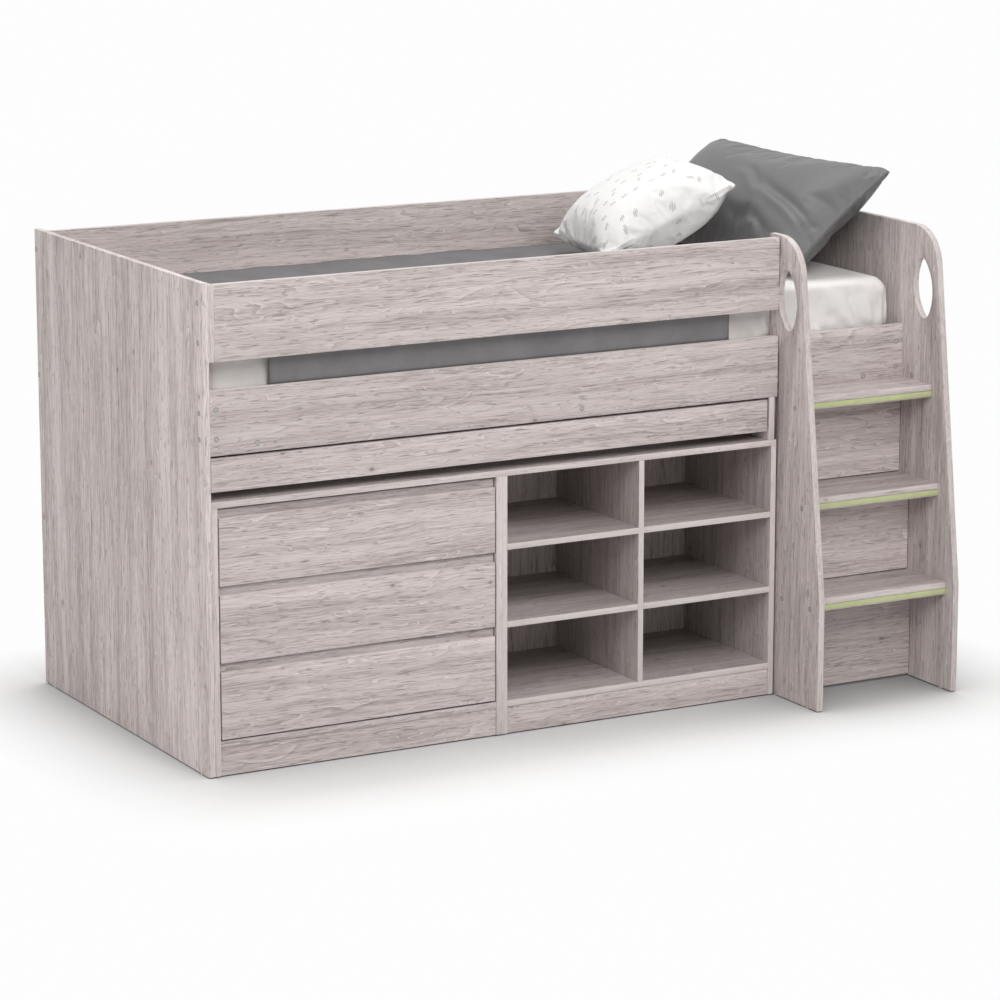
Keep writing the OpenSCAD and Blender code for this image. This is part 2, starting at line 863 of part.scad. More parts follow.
// Seam points belong to both faces, so the lower face uses the upper one's
function seam(k, l) = k == 0 || l == 0 || k == pillow_n || l == pillow_n;

function pillow_index(k, l, lower) = grid_index(k, l, seam(k, l) ? 0 : lower);

// The four corners of a grid cell, in turn. They start at the corner that points to the pillow's
// middle, or at the one across from it, so the diagonal from there never lies in the seam
function cell(k, l, lower) =
    let (
        p = pillow_index(k, l, lower),
        q = pillow_index(k + 1, l, lower),
        r = pillow_index(k + 1, l + 1, lower),
        s = pillow_index(k, l + 1, lower))
        (2 * k < pillow_n) == (2 * l < pillow_n) ? [p, q, r, s] : [q, r, s, p];

// The furthest that the pillow reaches along +x at or below the level z
function reach(points, z) = max([
    for (lower = [0, 1], k = [0 : pillow_n - 1], l = [0 : pillow_n - 1])
        let (c = cell(k, l, lower))
            for (edge = [[0, 1], [1, 2], [0, 2], [2, 3], [3, 0]])
                let (p = points[c[edge[0]]], q = points[c[edge[1]]])
                    if (min(p[2], q[2]) < z)
                        max(crossing(p, q, z), p[2] < z ? p[0] : q[0])]);

module pillow(points) {
    faces = [
        for (k = [0 : pillow_n - 1], l = [0 : pillow_n - 1], lower = [0, 1])
            let (c = cell(k, l, lower))
                each lower == 0
                    ? [[c[0], c[2], c[1]], [c[0], c[3], c[2]]]
                    : [[c[0], c[1], c[2]], [c[0], c[2], c[3]]]];
    polyhedron(points, faces);
}

// The grey pillow rests on the mattress and leans on the right end panel's inner face and top edge
module grey_pillow() {
    points = pillow_grid(grey_a, grey_b, grey_c, 90.9, grey_lean, -1.6);
    rise = z_mattress_up + soft_gap - lowest(points);
    shift = x_rin - soft_gap - reach(points, panel_h - rise);
    color(grey) translate([shift, y_mattress + grey_side, rise]) pillow(points);
}

// The white pillow lies half on the throw and leans towards the grey one
module white_pillow() {
    points = pillow_grid(white_a, white_b, white_c, -1.5, white_lean, -6.5);
    rise = z_mattress_up + 2 * soft_gap + throw_t - lowest(points);
    color(white) translate([x_rin - white_in, y_mattress + white_side, rise]) pillow(points);
}

// Screw caps, each a low disc on the board's face

module cap_on_x(x, y, z, side) {
    translate([x, y, z]) rotate([0, side * 90, 0]) cylinder(d = cap_d, h = cap_t, $fn = 32);
}

module cap_on_front(x, y, z) {
    translate([x, y, z]) rotate([90, 0, 0]) cylinder(d = cap_d, h = cap_t, $fn = 32);
}

// Distance of a cap's middle from a board's edge, from a panel beside it, and above a tread
cap_edge = 43;
cap_side = 20;
cap_rise = 11;

module screw_caps() {
    y_block = y_front + guard_block_d / 2;
    y_back_mid = y_wall - board_t / 2;
    y_rail_mid = y_rail + board_t / 2;
    z_block = z_main_up - end_block_h;
    color(wood_dim) {
        for (z = [z_guard + cap_edge, z_guard_up - cap_edge, z_block + 0.7 * cap_edge, z_main_up - cap_edge])
            cap_on_x(x_left, y_block, z, -1);
        for (z = [z_main_rail + cap_edge, z_main_rail + back_board_h - cap_edge]) {
            cap_on_x(x_left, y_back_mid, z, -1);
            cap_on_x(x_right, y_back_mid, z, 1);
        }
        for (z = [z_main_rail + cap_edge, z_main_up - cap_edge])
            cap_on_x(x_right, y_rail_mid, z, 1);
        for (i = [0 : 2], y = [tread_y[i] + glow_t + nose_d / 2, riser_y[i] - heel_d / 2]) {
            cap_on_x(x_lad_out, y, tread_z[i] - batten_h / 2, -1);
            cap_on_x(x_right, y, tread_z[i] - batten_h / 2, 1);
        }
        for (z = [z_front_rail + 0.9 * cap_edge, z_slot - cap_edge])
            cap_on_front(x_in + end_block_w / 2, y_front, z);
        for (x = [x_in + spacer_1, x_in + spacer_2])
            cap_on_front(x, y_front, z_front_rail + spacer_h / 2);
        for (z = [z_main_rail + cap_edge, z_main_up - cap_edge])
            cap_on_front(x_rin - cap_side, y_rail, z);
        z_tread_cap = tread_z[0] + board_t + cap_rise;
        cap_on_front(x_rin - spacer_1, y_rail, z_tread_cap);
        cap_on_x(x_rin, y_rail - cap_edge, z_tread_cap, -1);
        cap_on_x(x_lad, y_rail - cap_edge, z_tread_cap, 1);
    }
}

// Floor glides under every board that stands on the floor

module glide(x, y) {
    translate([x, y, 0]) cylinder(d = glide_d, h = glide_h, $fn = 32);
}

module floor_glides() {
    color("lightgrey") {
        for (y = [y_front + glide_in, y_wall - glide_in])
            glide(x_left + board_t / 2, y);
        for (y = [y_lad + glide_in, y_rail, y_wall - glide_in])
            glide(x_right - board_t / 2, y);
        for (y = [y_lad + glide_in, y_rail - glide_in])
            glide(x_lad_out + board_t / 2, y);
        for (x = [x_in, x_chest_rin, x_chest_r, x_shelf_rin], y = [y_front + glide_in, y_cab_in - glide_in])
            glide(x + cab_t / 2, y);
    }
}

left_end_panel();
right_end_panel();
ladder_side_panel();
guard_rail();
guard_end_block();
front_rail();
main_rail();
back_board();
rail_blocks();
slat_ledgers();
slats();
upper_tread();
middle_tread();
lower_tread();
upper_riser();
middle_riser();
lower_riser();
tread_battens();
glow_strips();
desk_front();
desk_top();
desk_battens();
desk_runners_fixed();
desk_runners_middle();
desk_runners_inner();
desk_upright();
cabinet_top();
chest_sides();
chest_bottom();
chest_plinth();
chest_back();
drawer_runners_fixed();
drawer_top_front();
drawer_top_box();
drawer_top_base();
drawer_top_runners();
drawer_middle_front();
drawer_middle_box();
drawer_middle_base();
drawer_middle_runners();
drawer_bottom_front();
drawer_bottom_box();
drawer_bottom_base();
drawer_bottom_runners();
shelf_sides();
shelf_divider();
shelf_bottom();
shelf_plinth();
shelves();
shelf_back();
mattress();
throw();
grey_pillow();
white_pillow();
screw_caps();
joint_dowels();
floor_glides();
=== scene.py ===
# %% [markdown]
# # A mid sleeper bed in grey-washed oak
# The bed is a box of wood-look boards: two end panels, rails and a guard, with a drawer chest, cube
# shelves, a pull-out desk and a ladder under and beside the mattress. The boards are already exact
# solids, so this lesson gives them their decor, and models the soft things on top: mattress, throw
# and two pillows. It starts with the frame, which brings in every board at its real place and size.

# %% Load the frame
import json
import math

import bmesh
import bpy
from mathutils import Matrix, Vector, noise

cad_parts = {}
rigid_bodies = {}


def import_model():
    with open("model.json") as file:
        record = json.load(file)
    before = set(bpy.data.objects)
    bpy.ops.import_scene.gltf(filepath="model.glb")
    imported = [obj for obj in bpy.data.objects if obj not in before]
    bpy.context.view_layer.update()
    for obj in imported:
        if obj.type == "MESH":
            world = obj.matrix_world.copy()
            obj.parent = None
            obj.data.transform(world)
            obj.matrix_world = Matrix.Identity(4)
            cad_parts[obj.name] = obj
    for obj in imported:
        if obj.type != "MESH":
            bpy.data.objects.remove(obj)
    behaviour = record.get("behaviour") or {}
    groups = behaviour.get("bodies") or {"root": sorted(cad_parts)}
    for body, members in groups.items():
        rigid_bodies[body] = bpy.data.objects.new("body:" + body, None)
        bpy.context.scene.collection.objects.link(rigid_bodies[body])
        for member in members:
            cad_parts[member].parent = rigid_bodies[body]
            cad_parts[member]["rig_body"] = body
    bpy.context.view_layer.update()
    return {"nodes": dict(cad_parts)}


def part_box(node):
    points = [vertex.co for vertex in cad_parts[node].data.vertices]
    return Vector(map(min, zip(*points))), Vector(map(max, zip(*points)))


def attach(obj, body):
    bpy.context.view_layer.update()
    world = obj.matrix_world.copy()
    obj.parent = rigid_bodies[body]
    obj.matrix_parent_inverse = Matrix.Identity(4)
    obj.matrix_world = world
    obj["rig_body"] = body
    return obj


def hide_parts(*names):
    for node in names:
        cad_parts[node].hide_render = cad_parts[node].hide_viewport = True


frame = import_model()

nodes = frame["nodes"]

# %% [markdown]
# ## Camera
# The bed was looked at from the front left and a little above, through a long lens. The place, the
# turn and the focal length below were fitted to the bed's own corners. The image is 1000 pixels wide,
# so a lens of f pixels is f / 1000 of the sensor's width.

# %% Camera
SENSOR = 36.0
IMAGE_WIDTH = 1000
FOCAL_PIXELS = 3839.5
TILT_DOWN = 12.246
TURN_RIGHT = 28.902
camera_data = bpy.data.cameras.new("Camera")
camera_data.sensor_width = SENSOR
camera_data.lens = FOCAL_PIXELS / IMAGE_WIDTH * SENSOR
camera_data.clip_end = 100
camera = bpy.data.objects.new("Camera", camera_data)
camera.location = (-4.5061, -8.1670, 2.5057)
camera.rotation_euler = (math.radians(90 - TILT_DOWN), 0, math.radians(-TURN_RIGHT))
bpy.context.scene.collection.objects.link(camera)
bpy.context.scene.camera = camera
print("lens in millimetres:", round(camera_data.lens, 1))

# %% [markdown]
# ## Light, floor and backdrop
# A studio shot on white: a large soft lamp high in front, a weaker one above and another at the left,
# and an even pale surrounding. Large lamps give the soft shadow edges of a softbox.

# %% Lamps
LAMP_WIDTH = 2.6


def soft_lamp(name, place, target, power):
    """A square area lamp that faces a point on the bed."""
    data = bpy.data.lights.new(name, "AREA")
    data.size = LAMP_WIDTH
    data.energy = power
    lamp = bpy.data.objects.new(name, data)
    lamp.location = place
    lamp.rotation_euler = (Vector(target) - Vector(place)).to_track_quat("-Z", "Y").to_euler()
    bpy.context.scene.collection.objects.link(lamp)
    print(name, "of", power, "watts")


soft_lamp("Key lamp", (-0.7, -4.4, 3.9), (0, 0, 0.5), 147)
soft_lamp("Side lamp", (-5.2, -0.6, 2.4), (-0.6, 0, 0.5), 42)
soft_lamp("Top lamp", (0.4, 0.8, 4.6), (0.1, 0.2, 0), 74)

# %% [markdown]
# The floor is white to the camera but still takes the bed's shadow, so for the camera its material adds
# a little light of its own to a matt white. Where the floor sees little of the sky it also gets a
# painted shade, and a third of a metre away from the bed the floor has faded to the backdrop's
# white.

# %% World
def new_tree(owner):
    """An empty node tree of a world or a material."""
    owner.use_nodes = True
    owner.node_tree.nodes.clear()
    return owner.node_tree


def put(tree, kind, inputs=None, **settings):
    """Adds a shader node. inputs maps a socket's name or number to a value or to another output."""
    made = tree.nodes.new("ShaderNode" + kind)
    for key, value in settings.items():
        setattr(made, key, value)
    for key, value in (inputs or {}).items():
        if isinstance(value, bpy.types.NodeSocket):
            tree.links.new(value, made.inputs[key])
        else:
            made.inputs[key].default_value = value
    return made


def calc(tree, operation, a, b=0.0, clamp=False):
    """One sum on numbers or outputs."""
    return put(tree, "Math", {0: a, 1: b}, operation=operation, use_clamp=clamp).outputs[0]


def vector_calc(tree, operation, a, b):
    """One sum on vectors."""
    return put(tree, "VectorMath", {0: a, 1: b}, operation=operation).outputs[0]


def scaled(tree, colour, factor):
    """A colour times one number."""
    return put(tree, "VectorMath", {0: colour, "Scale": factor}, operation="SCALE").outputs[0]


def seen_ray(tree):
    """1 for rays that the camera, a mirror or a glass sends straight to a surface."""
    path = put(tree, "LightPath")
    first = calc(tree, "MAXIMUM", path.outputs["Is Camera Ray"], path.outputs["Is Glossy Ray"])
    return calc(tree, "MAXIMUM", first, path.outputs["Is Transmission Ray"])


BACKDROP_WHITE = (0.985, 0.985, 0.985, 1)
world = bpy.data.worlds.new("Studio")
bpy.context.scene.world = world
tree = new_tree(world)
around = put(tree, "Background", {"Color": (1.0, 0.99, 0.98, 1), "Strength": 0.58})
backdrop = put(tree, "Background", {"Color": BACKDROP_WHITE, "Strength": 1.0})
pick = put(tree, "MixShader", {0: seen_ray(tree), 1: around.outputs[0], 2: backdrop.outputs[0]})
tree.links.new(pick.outputs[0], put(tree, "OutputWorld").inputs["Surface"])
print("world nodes:", len(tree.nodes))

# %% Floor
CONTACT_REACH = 0.5
CONTACT_POWER = 0.55
FLOOR_WHITE = (0.81, 0.81, 0.81)
FLOOR_GLOW = 0.11
FADE_LENGTH = 0.34
BED_REACH = (1.0, 0.6)  # half the bed's length and depth, rounded up
floor_mesh = bmesh.new()
bmesh.ops.create_grid(floor_mesh, x_segments=1, y_segments=1, size=30)
floor_data = bpy.data.meshes.new("Studio floor")
floor_mesh.to_mesh(floor_data)
floor_mesh.free()
floor = bpy.data.objects.new("Studio floor", floor_data)
bpy.context.scene.collection.objects.link(floor)
floor_finish = bpy.data.materials.new("Studio floor")
tree = new_tree(floor_finish)
paper = put(tree, "BsdfDiffuse", {"Color": (0.62, 0.62, 0.62, 1)})
# Painted shade: the floor's white darkens where little of the sky reaches it
open_sky = put(tree, "AmbientOcclusion", {"Distance": CONTACT_REACH}, samples=16)
white = scaled(tree, FLOOR_WHITE, calc(tree, "POWER", open_sky.outputs["AO"], CONTACT_POWER))
bright = put(tree, "BsdfDiffuse", {"Color": white})
lift = put(tree, "Emission", {"Color": white, "Strength": FLOOR_GLOW})
near = put(tree, "AddShader", {0: bright.outputs[0], 1: lift.outputs[0]})
far = put(tree, "Emission", {"Color": BACKDROP_WHITE, "Strength": 1.0})
spot = put(tree, "SeparateXYZ", {0: put(tree, "TexCoord").outputs["Object"]})
beside = []
for axis, reach in enumerate(BED_REACH):
    past = calc(tree, "SUBTRACT", calc(tree, "ABSOLUTE", spot.outputs[axis]), reach)
    beside.append(calc(tree, "MAXIMUM", past, 0.0))
away = put(tree, "CombineXYZ", {0: beside[0], 1: beside[1]})
away = put(tree, "VectorMath", {0: away.outputs[0]}, operation="LENGTH")
fade = calc(tree, "DIVIDE", away.outputs["Value"], FADE_LENGTH, clamp=True)
lit = put(tree, "MixShader", {0: fade, 1: near.outputs[0], 2: far.outputs[0]})
pick = put(tree, "MixShader", {0: seen_ray(tree), 1: paper.outputs[0], 2: lit.outputs[0]})
tree.links.new(pick.outputs[0], put(tree, "OutputMaterial").inputs["Surface"])
floor_data.materials.append(floor_finish)
bpy.context.scene.view_settings.view_transform = "Standard"
print("floor nodes:", len(tree.nodes))

# %% [markdown]
# ## The washed oak decor
# The boards carry a printed oak decor: fine streaks a few millimetres wide, broader bands, long
# pointed loops where the saw ran through the growth rings, dark pores and a few small knots. One node
# group makes all of it from a place in the board, with the grain along its X, so that every board can
# share it. Noise that is stretched along the grain gives the streaks and bands.

# %% Node group helpers
def new_group(name, inputs, outputs):
    """A shader node group. inputs lists (name, kind, default), outputs lists (name, kind)."""
    group = bpy.data.node_groups.new(name, "ShaderNodeTree")
    for label, kind, value in inputs:
        socket = group.interface.new_socket(name=label, in_out="INPUT", socket_type="NodeSocket" + kind)
        socket.default_value = value
    for label, kind in outputs:
        group.interface.new_socket(name=label, in_out="OUTPUT", socket_type="NodeSocket" + kind)
    return group, group.nodes.new("NodeGroupInput"), group.nodes.new("NodeGroupOutput")


def stretched_noise(tree, place, stretch, detail=2.0, roughness=0.5):
    """Noise whose cells are 1 / stretch metres long on each axis."""
    made = put(tree, "TexNoise", {"Vector": vector_calc(tree, "MULTIPLY", place, stretch),
        "Scale": 1.0, "Detail": detail, "Roughness": roughness})
    return made.outputs["Fac"]


def span(tree, value, low, high, to_low=0.0, to_high=1.0):
    """Maps low..high to to_low..to_high and clamps outside."""
    return put(tree, "MapRange", {"Value": value, "From Min": low, "From Max": high,
        "To Min": to_low, "To Max": to_high}).outputs[0]


def blend_colours(tree, share, first, second):
    """Mixes the second colour into the first."""
    made = put(tree, "Mix", {"Factor": share, 6: first, 7: second}, data_type="RGBA")
    return made.outputs[2]


# %% The grain's place in the board
grain, give, take = new_group("Washed oak grain",
    [("Place", "Vector", (0, 0, 0)), ("Tone", "Float", 1.0), ("Contrast", "Float", 1.0),
        ("Marks", "Float", 0.0)],
    [("Colour", "Color"), ("Roughness", "Float"), ("Height", "Float")])
place = give.outputs["Place"]


def wander(start, stretch, reach):
    """Bends the streaks: shifts a place across the board by up to half of reach each way."""
    wave = put(grain, "TexNoise", {"Vector": vector_calc(grain, "MULTIPLY", start, stretch),
        "Scale": 1.0, "Detail": 1.0})
    centred = vector_calc(grain, "SUBTRACT", wave.outputs["Color"], (0.5, 0.5, 0.5))
    return vector_calc(grain, "ADD", start, vector_calc(grain, "MULTIPLY", centred, (0, reach, reach)))


slow = wander(place, (1.3, 5.0, 5.0), 0.030)
bent = wander(slow, (14.0, 30.0, 30.0), 0.0040)
print("inputs of the grain:", [socket.name for socket in give.outputs if socket.name])

# %% [markdown]
# Growth lines run along the board. A slow noise is added to the count across the board, and where it
# changes faster than the count, the lines fold back into pointed loops. Each line is a dark groove with
# a pale ridge beside it, and they show only in patches, as the print does.

# %% Growth lines
def growth_lines(per_metre, wobble, stretch, patch_stretch, patch_low, patch_high):
    """Dark grooves and pale ridges, as two masks."""
    sides = put(grain, "SeparateXYZ", {0: bent})
    across = calc(grain, "ADD", sides.outputs[1], sides.outputs[2])
    swell = calc(grain, "MULTIPLY", stretched_noise(grain, bent, stretch, detail=1.0), wobble)
    count = calc(grain, "ADD", calc(grain, "MULTIPLY", across, per_metre), swell)
    step = calc(grain, "FRACT", count)
    shown = span(grain, stretched_noise(grain, place, patch_stretch), patch_low, patch_high)
    return [calc(grain, "MULTIPLY", line, shown)
        for line in (span(grain, step, 0.78, 0.97), span(grain, step, 0.26, 0.02))]


groove, ridge = growth_lines(74.0, 12.0, (2.0, 15.0, 15.0), (4.0, 22.0, 22.0), 0.46, 0.62)
small_groove, small_ridge = growth_lines(135.0, 9.0, (5.5, 36.0, 36.0), (11.0, 60.0, 60.0), 0.40, 0.56)
print("nodes with the growth lines:", len(grain.nodes))

# %% Streaks, pores and dashes
# Long fine streaks, middling ones and broad bands. Contrast works round the mean of their sum
STREAK_MEAN = 2.275
fine = stretched_noise(grain, bent, (9.0, 420.0, 420.0), roughness=0.6)
middle = stretched_noise(grain, bent, (3.2, 120.0, 120.0))
broad = stretched_noise(grain, bent, (0.9, 22.0, 22.0))
streaks = calc(grain, "ADD", calc(grain, "MULTIPLY", fine, 1.9), calc(grain, "MULTIPLY", middle, 1.1))
streaks = calc(grain, "ADD", streaks, calc(grain, "MULTIPLY", broad, 1.5))
centred = calc(grain, "SUBTRACT", streaks, STREAK_MEAN)
depth = span(grain, calc(grain, "MULTIPLY", centred, give.outputs["Contrast"]), -0.53, 0.52)

# Pores are short and fine, with more of them where the streaks are dark. Flecks and dashes are coarser
pore_noise = stretched_noise(grain, bent, (26.0, 430.0, 430.0), detail=1.0)
pores = span(grain, calc(grain, "ADD", pore_noise, calc(grain, "MULTIPLY", depth, 0.12)), 0.665, 0.74)
fleck_noise = stretched_noise(grain, bent, (15.0, 190.0, 190.0), detail=1.0)
flecks = span(grain, fleck_noise, 0.685, 0.75)
dash_noise = stretched_noise(grain, bent, (30.0, 105.0, 105.0))
dashes = span(grain, calc(grain, "ADD", dash_noise, give.outputs["Marks"]), 0.66, 0.72)
print("nodes with the streaks and pores:", len(grain.nodes))

# %% Knots
# A few small dark spots with a soft ring, on a flat grid, so that a face is sure to meet some
sides = put(grain, "SeparateXYZ", {0: bent})
flat_place = put(grain, "CombineXYZ", {0: calc(grain, "MULTIPLY", sides.outputs[0], 0.6),
    1: calc(grain, "ADD", sides.outputs[1], sides.outputs[2])})
spots = put(grain, "TexVoronoi", {"Vector": flat_place.outputs[0], "Scale": 7.0}, feature="F1",
    voronoi_dimensions="2D")
luck = put(grain, "SeparateColor", {0: spots.outputs["Color"]}).outputs[0]
luck = calc(grain, "ADD", luck, calc(grain, "MULTIPLY", give.outputs["Marks"], 5.0))
rare = span(grain, luck, 0.83, 0.87)
knot = calc(grain, "MULTIPLY", span(grain, spots.outputs["Distance"], 0.036, 0.015), rare)
halo = calc(grain, "MULTIPLY", span(grain, spots.outputs["Distance"], 0.10, 0.03), rare)
print("nodes with the knots:", len(grain.nodes))

# %% Colours of the decor
LIGHT_OAK = (0.650, 0.583, 0.570, 1)
MIDDLE_OAK = (0.532, 0.470, 0.460, 1)
DARK_OAK = (0.375, 0.322, 0.313, 1)
ramp = put(grain, "ValToRGB", {0: depth})
ramp.color_ramp.elements[0].color = LIGHT_OAK
ramp.color_ramp.elements[1].color = DARK_OAK
ramp.color_ramp.elements.new(0.5).color = MIDDLE_OAK
PALE_VEIN = (0.74, 0.68, 0.665, 1)
DARK_VEIN = (0.27, 0.235, 0.22, 1)
# What lies over the streaks, in this order: its mask, how strongly it shows, and its colour
OVER_STREAKS = ((small_ridge, 0.55, PALE_VEIN), (ridge, 0.50, PALE_VEIN),
    (small_groove, 0.34, DARK_VEIN), (groove, 0.38, DARK_VEIN), (pores, 0.50, (0.21, 0.18, 0.165, 1)),
    (flecks, 0.60, (0.19, 0.16, 0.145, 1)), (dashes, 0.45, (0.20, 0.17, 0.155, 1)),
    (halo, 0.30, (0.36, 0.29, 0.26, 1)), (knot, 0.65, (0.16, 0.125, 0.115, 1)))
colour = ramp.outputs[0]
for mask, strength, ink in OVER_STREAKS:
    colour = blend_colours(grain, calc(grain, "MULTIPLY", mask, strength), colour, ink)
grain.links.new(scaled(grain, colour, give.outputs["Tone"]), take.inputs["Colour"])
grain.links.new(span(grain, depth, 0.0, 1.0, 0.50, 0.66), take.inputs["Roughness"])
height = calc(grain, "SUBTRACT", calc(grain, "ADD", calc(grain, "MULTIPLY", fine, 0.5), ridge),
    calc(grain, "ADD", pores, groove))
grain.links.new(height, take.inputs["Height"])
print("nodes in the finished grain:", len(grain.nodes))

# %% [markdown]
# ## One finish for each board
# Each board was cut from another place of the decor, so each gets its own material with its own shift
# into the pattern and its own grain direction. On the drawer boxes the grain runs round the corners.
# The cut edges are banded with a paler strip. The edges are found from the normal: where it doesn't
# point along the board's thin axis, the band shows.

# %% Board finish
TURN = {"X": (0, 0, 0), "Y": (0, 0, -math.pi / 2), "Z": (0, math.pi / 2, 0), "round": (0, 0, 0)}
AXIS = {"X": (1, 0, 0), "Y": (0, 1, 0), "Z": (0, 0, 1)}
SQUARE_TO_THIN = 0.7  # a face whose normal lies further off the thin axis than this cosine is an edge
BAND_COLOUR = (0.72, 0.665, 0.64, 1)
# The set-back strip of a drawer front is darkened by this factor: painted shade in the recess
RECESS_PAINTED_SHADE = 0.74
RECESS_BLEND = 0.002


def oak_board(name, along, thin, shift, tone, contrast, band, marks, recess):
    """Washed oak with its grain along one axis, banded on the faces that aren't square to thin.

    recess is the Y of a board's set-back strip, whose colour gets a painted shade."""
    made = bpy.data.materials.new("Washed oak " + name.replace("_", " "))
    tree = new_tree(made)
    coords = put(tree, "TexCoord")
    spot = coords.outputs["Object"]
    if along == "round":  # the grain runs round the corners of an upright box
        sides = put(tree, "SeparateXYZ", {0: spot})
        spot = put(tree, "CombineXYZ", {0: calc(tree, "ADD", sides.outputs[0], sides.outputs[1]),
            2: sides.outputs[2]}).outputs[0]
    turned = put(tree, "Mapping", {"Vector": spot, "Rotation": TURN[along], "Location": shift})
    decor = put(tree, "Group", node_tree=grain)
    tree.links.new(turned.outputs[0], decor.inputs["Place"])
    decor.inputs["Tone"].default_value = tone
    decor.inputs["Contrast"].default_value = contrast
    decor.inputs["Marks"].default_value = marks
    colour = decor.outputs["Colour"]
    if thin:
        facing = put(tree, "VectorMath", {0: coords.outputs["Normal"], 1: AXIS[thin]},
            operation="DOT_PRODUCT")
        edge = calc(tree, "LESS_THAN", calc(tree, "ABSOLUTE", facing.outputs["Value"]), SQUARE_TO_THIN)
        colour = blend_colours(tree, calc(tree, "MULTIPLY", edge, band), colour, BAND_COLOUR)
    if recess is not None:
        # Painted shade: the colour darkens behind the recess's Y
        inward = put(tree, "SeparateXYZ", {0: coords.outputs["Object"]}).outputs[1]
        painted_recess_shade = span(tree, inward, recess - RECESS_BLEND, recess, 1.0, RECESS_PAINTED_SHADE)
        colour = scaled(tree, colour, painted_recess_shade)
    relief = put(tree, "Bump", {"Strength": 0.40, "Distance": 0.0005,
        "Height": decor.outputs["Height"]})
    surface = put(tree, "BsdfPrincipled", {"Base Color": colour,
        "Roughness": decor.outputs["Roughness"], "Normal": relief.outputs[0],
        "Specular IOR Level": 0.35})
    tree.links.new(surface.outputs[0], put(tree, "OutputMaterial").inputs["Surface"])
    return made


print("ways to lay the grain:", sorted(TURN))

# %% Grain direction and thin axis of every board
BOARDS = {
    "left_end_panel": ("Z", "X"), "right_end_panel": ("Z", "X"), "ladder_side_panel": ("Z", "X"),
    "guard_rail": ("X", "Y"), "guard_end_block": ("Z", "X"), "front_rail": ("X", "Y"),
    "main_rail": ("X", "Y"), "back_board": ("X", "Y"), "rail_blocks": ("Z", ""),
    "slat_ledgers": ("X", ""), "upper_tread": ("X", "Z"), "middle_tread": ("X", "Z"),
    "lower_tread": ("X", "Z"), "upper_riser": ("X", "Y"), "middle_riser": ("X", "Y"),
    "lower_riser": ("X", "Y"), "tread_battens": ("X", ""), "desk_front": ("X", "Y"),
    "desk_top": ("X", "Z"), "desk_battens": ("Y", "X"), "desk_upright": ("Z", "X"),
    "cabinet_top": ("X", "Z"), "chest_sides": ("Z", "X"), "chest_bottom": ("X", "Z"),
    "chest_plinth": ("X", "Y"), "chest_back": ("Z", "Y"), "shelf_sides": ("Z", "X"),
    "shelf_divider": ("Z", "X"), "shelf_bottom": ("X", "Z"), "shelf_plinth": ("X", "Y"),
    "shelves": ("X", "Z"), "shelf_back": ("Z", "Y")}
for level in ("top", "middle", "bottom"):
    BOARDS["drawer_%s_front" % level] = ("X", "Y")
    BOARDS["drawer_%s_box" % level] = ("round", "")
    BOARDS["drawer_%s_base" % level] = ("X", "")
print("boards to finish:", len(BOARDS))

# %% Tone of every board
# Boards from another place of the decor look a little lighter or darker, and the shelf boards have a
# paler band. The upper and middle risers are made lighter as painted light, against the shade that
# the treads cast on them: tone, contrast of the streaks, share of the band's colour
PLAIN = (1.0, 1.0, 0.3)
TONES_AND_PAINTED_LIGHT = {"left_end_panel": (1.13, 1.25, 0.12), "right_end_panel": (0.94, 1.1, 0.3),
    "ladder_side_panel": (0.94, 1.1, 0.3), "back_board": (0.90, 1.1, 0.3),
    "front_rail": (0.94, 1.0, 0.3), "main_rail": (0.97, 1.0, 0.3),
    # Painted light: the upper and middle risers are lightened against the treads' shade
    "upper_riser": (1.10, 1.0, 0.3), "middle_riser": (1.16, 1.0, 0.3), "lower_riser": (0.96, 1.0, 0.3),
    "upper_tread": (0.94, 1.2, 0.3), "middle_tread": (0.94, 1.2, 0.3), "lower_tread": (0.94, 1.2, 0.3),
    "chest_bottom": (0.92, 1.0, 0.05), "drawer_top_front": (1.01, 1.1, 0.3),
    "drawer_middle_front": (1.04, 0.9, 0.3), "drawer_bottom_front": (1.03, 1.1, 0.3),
    "shelves": (0.84, 1.0, 0.6), "shelf_bottom": (0.84, 1.0, 0.6), "shelf_sides": (0.86, 1.0, 0.6),
    "shelf_divider": (0.84, 1.0, 0.6), "shelf_back": (1.08, 1.0, 0.3)}
# More dark dashes on the boards where the photograph shows them
MARKED = {"left_end_panel": 0.035, "right_end_panel": 0.02, "ladder_side_panel": 0.03}
print("boards with a tone of their own:", len(TONES_AND_PAINTED_LIGHT))

# %% [markdown]
# ## Rounded edges
# Edge banding is scraped to a small radius, which catches the light along every edge and leaves a fine
# groove where two boards meet. The solids are sharp, so a rounded copy stands for each of them. Their
# loose triangles are merged and flat faces joined first, so that the Bevel modifier meets clean edges.

# %% Rounded copies
def own_piece(name, mesh, body, stands_for):
    """Links a finished mesh as a piece of the bed, in the place of the nodes that it stands for."""
    piece = bpy.data.objects.new(name, mesh)
    bpy.context.scene.collection.objects.link(piece)
    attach(piece, body)
    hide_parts(*stands_for)
    return piece


# A face with a hole in it can't be one clean face, so two panels are cut across their hand holes
HOLED_PANELS = ("right_end_panel", "ladder_side_panel")
HAND_HOLE_LEVEL = 1.0
WELD = 1e-5


def merged_copy(node_name):
    """A node's mesh as a bmesh with welded points and whole flat faces."""
    shape = bmesh.new()
    shape.from_mesh(nodes[node_name].data)
    bmesh.ops.remove_doubles(shape, verts=shape.verts, dist=WELD)
    if node_name in HOLED_PANELS:
        everything = shape.verts[:] + shape.edges[:] + shape.faces[:]
        cut = bmesh.ops.bisect_plane(shape, geom=everything, dist=WELD,
            plane_co=(0, 0, HAND_HOLE_LEVEL), plane_no=(0, 0, 1))
        for part in cut["geom_cut"]:
            if isinstance(part, bmesh.types.BMEdge):
                part.seam = True
    bmesh.ops.dissolve_limit(shape, angle_limit=math.radians(1), verts=shape.verts, edges=shape.edges,
        delimit={"SEAM"})
    return shape


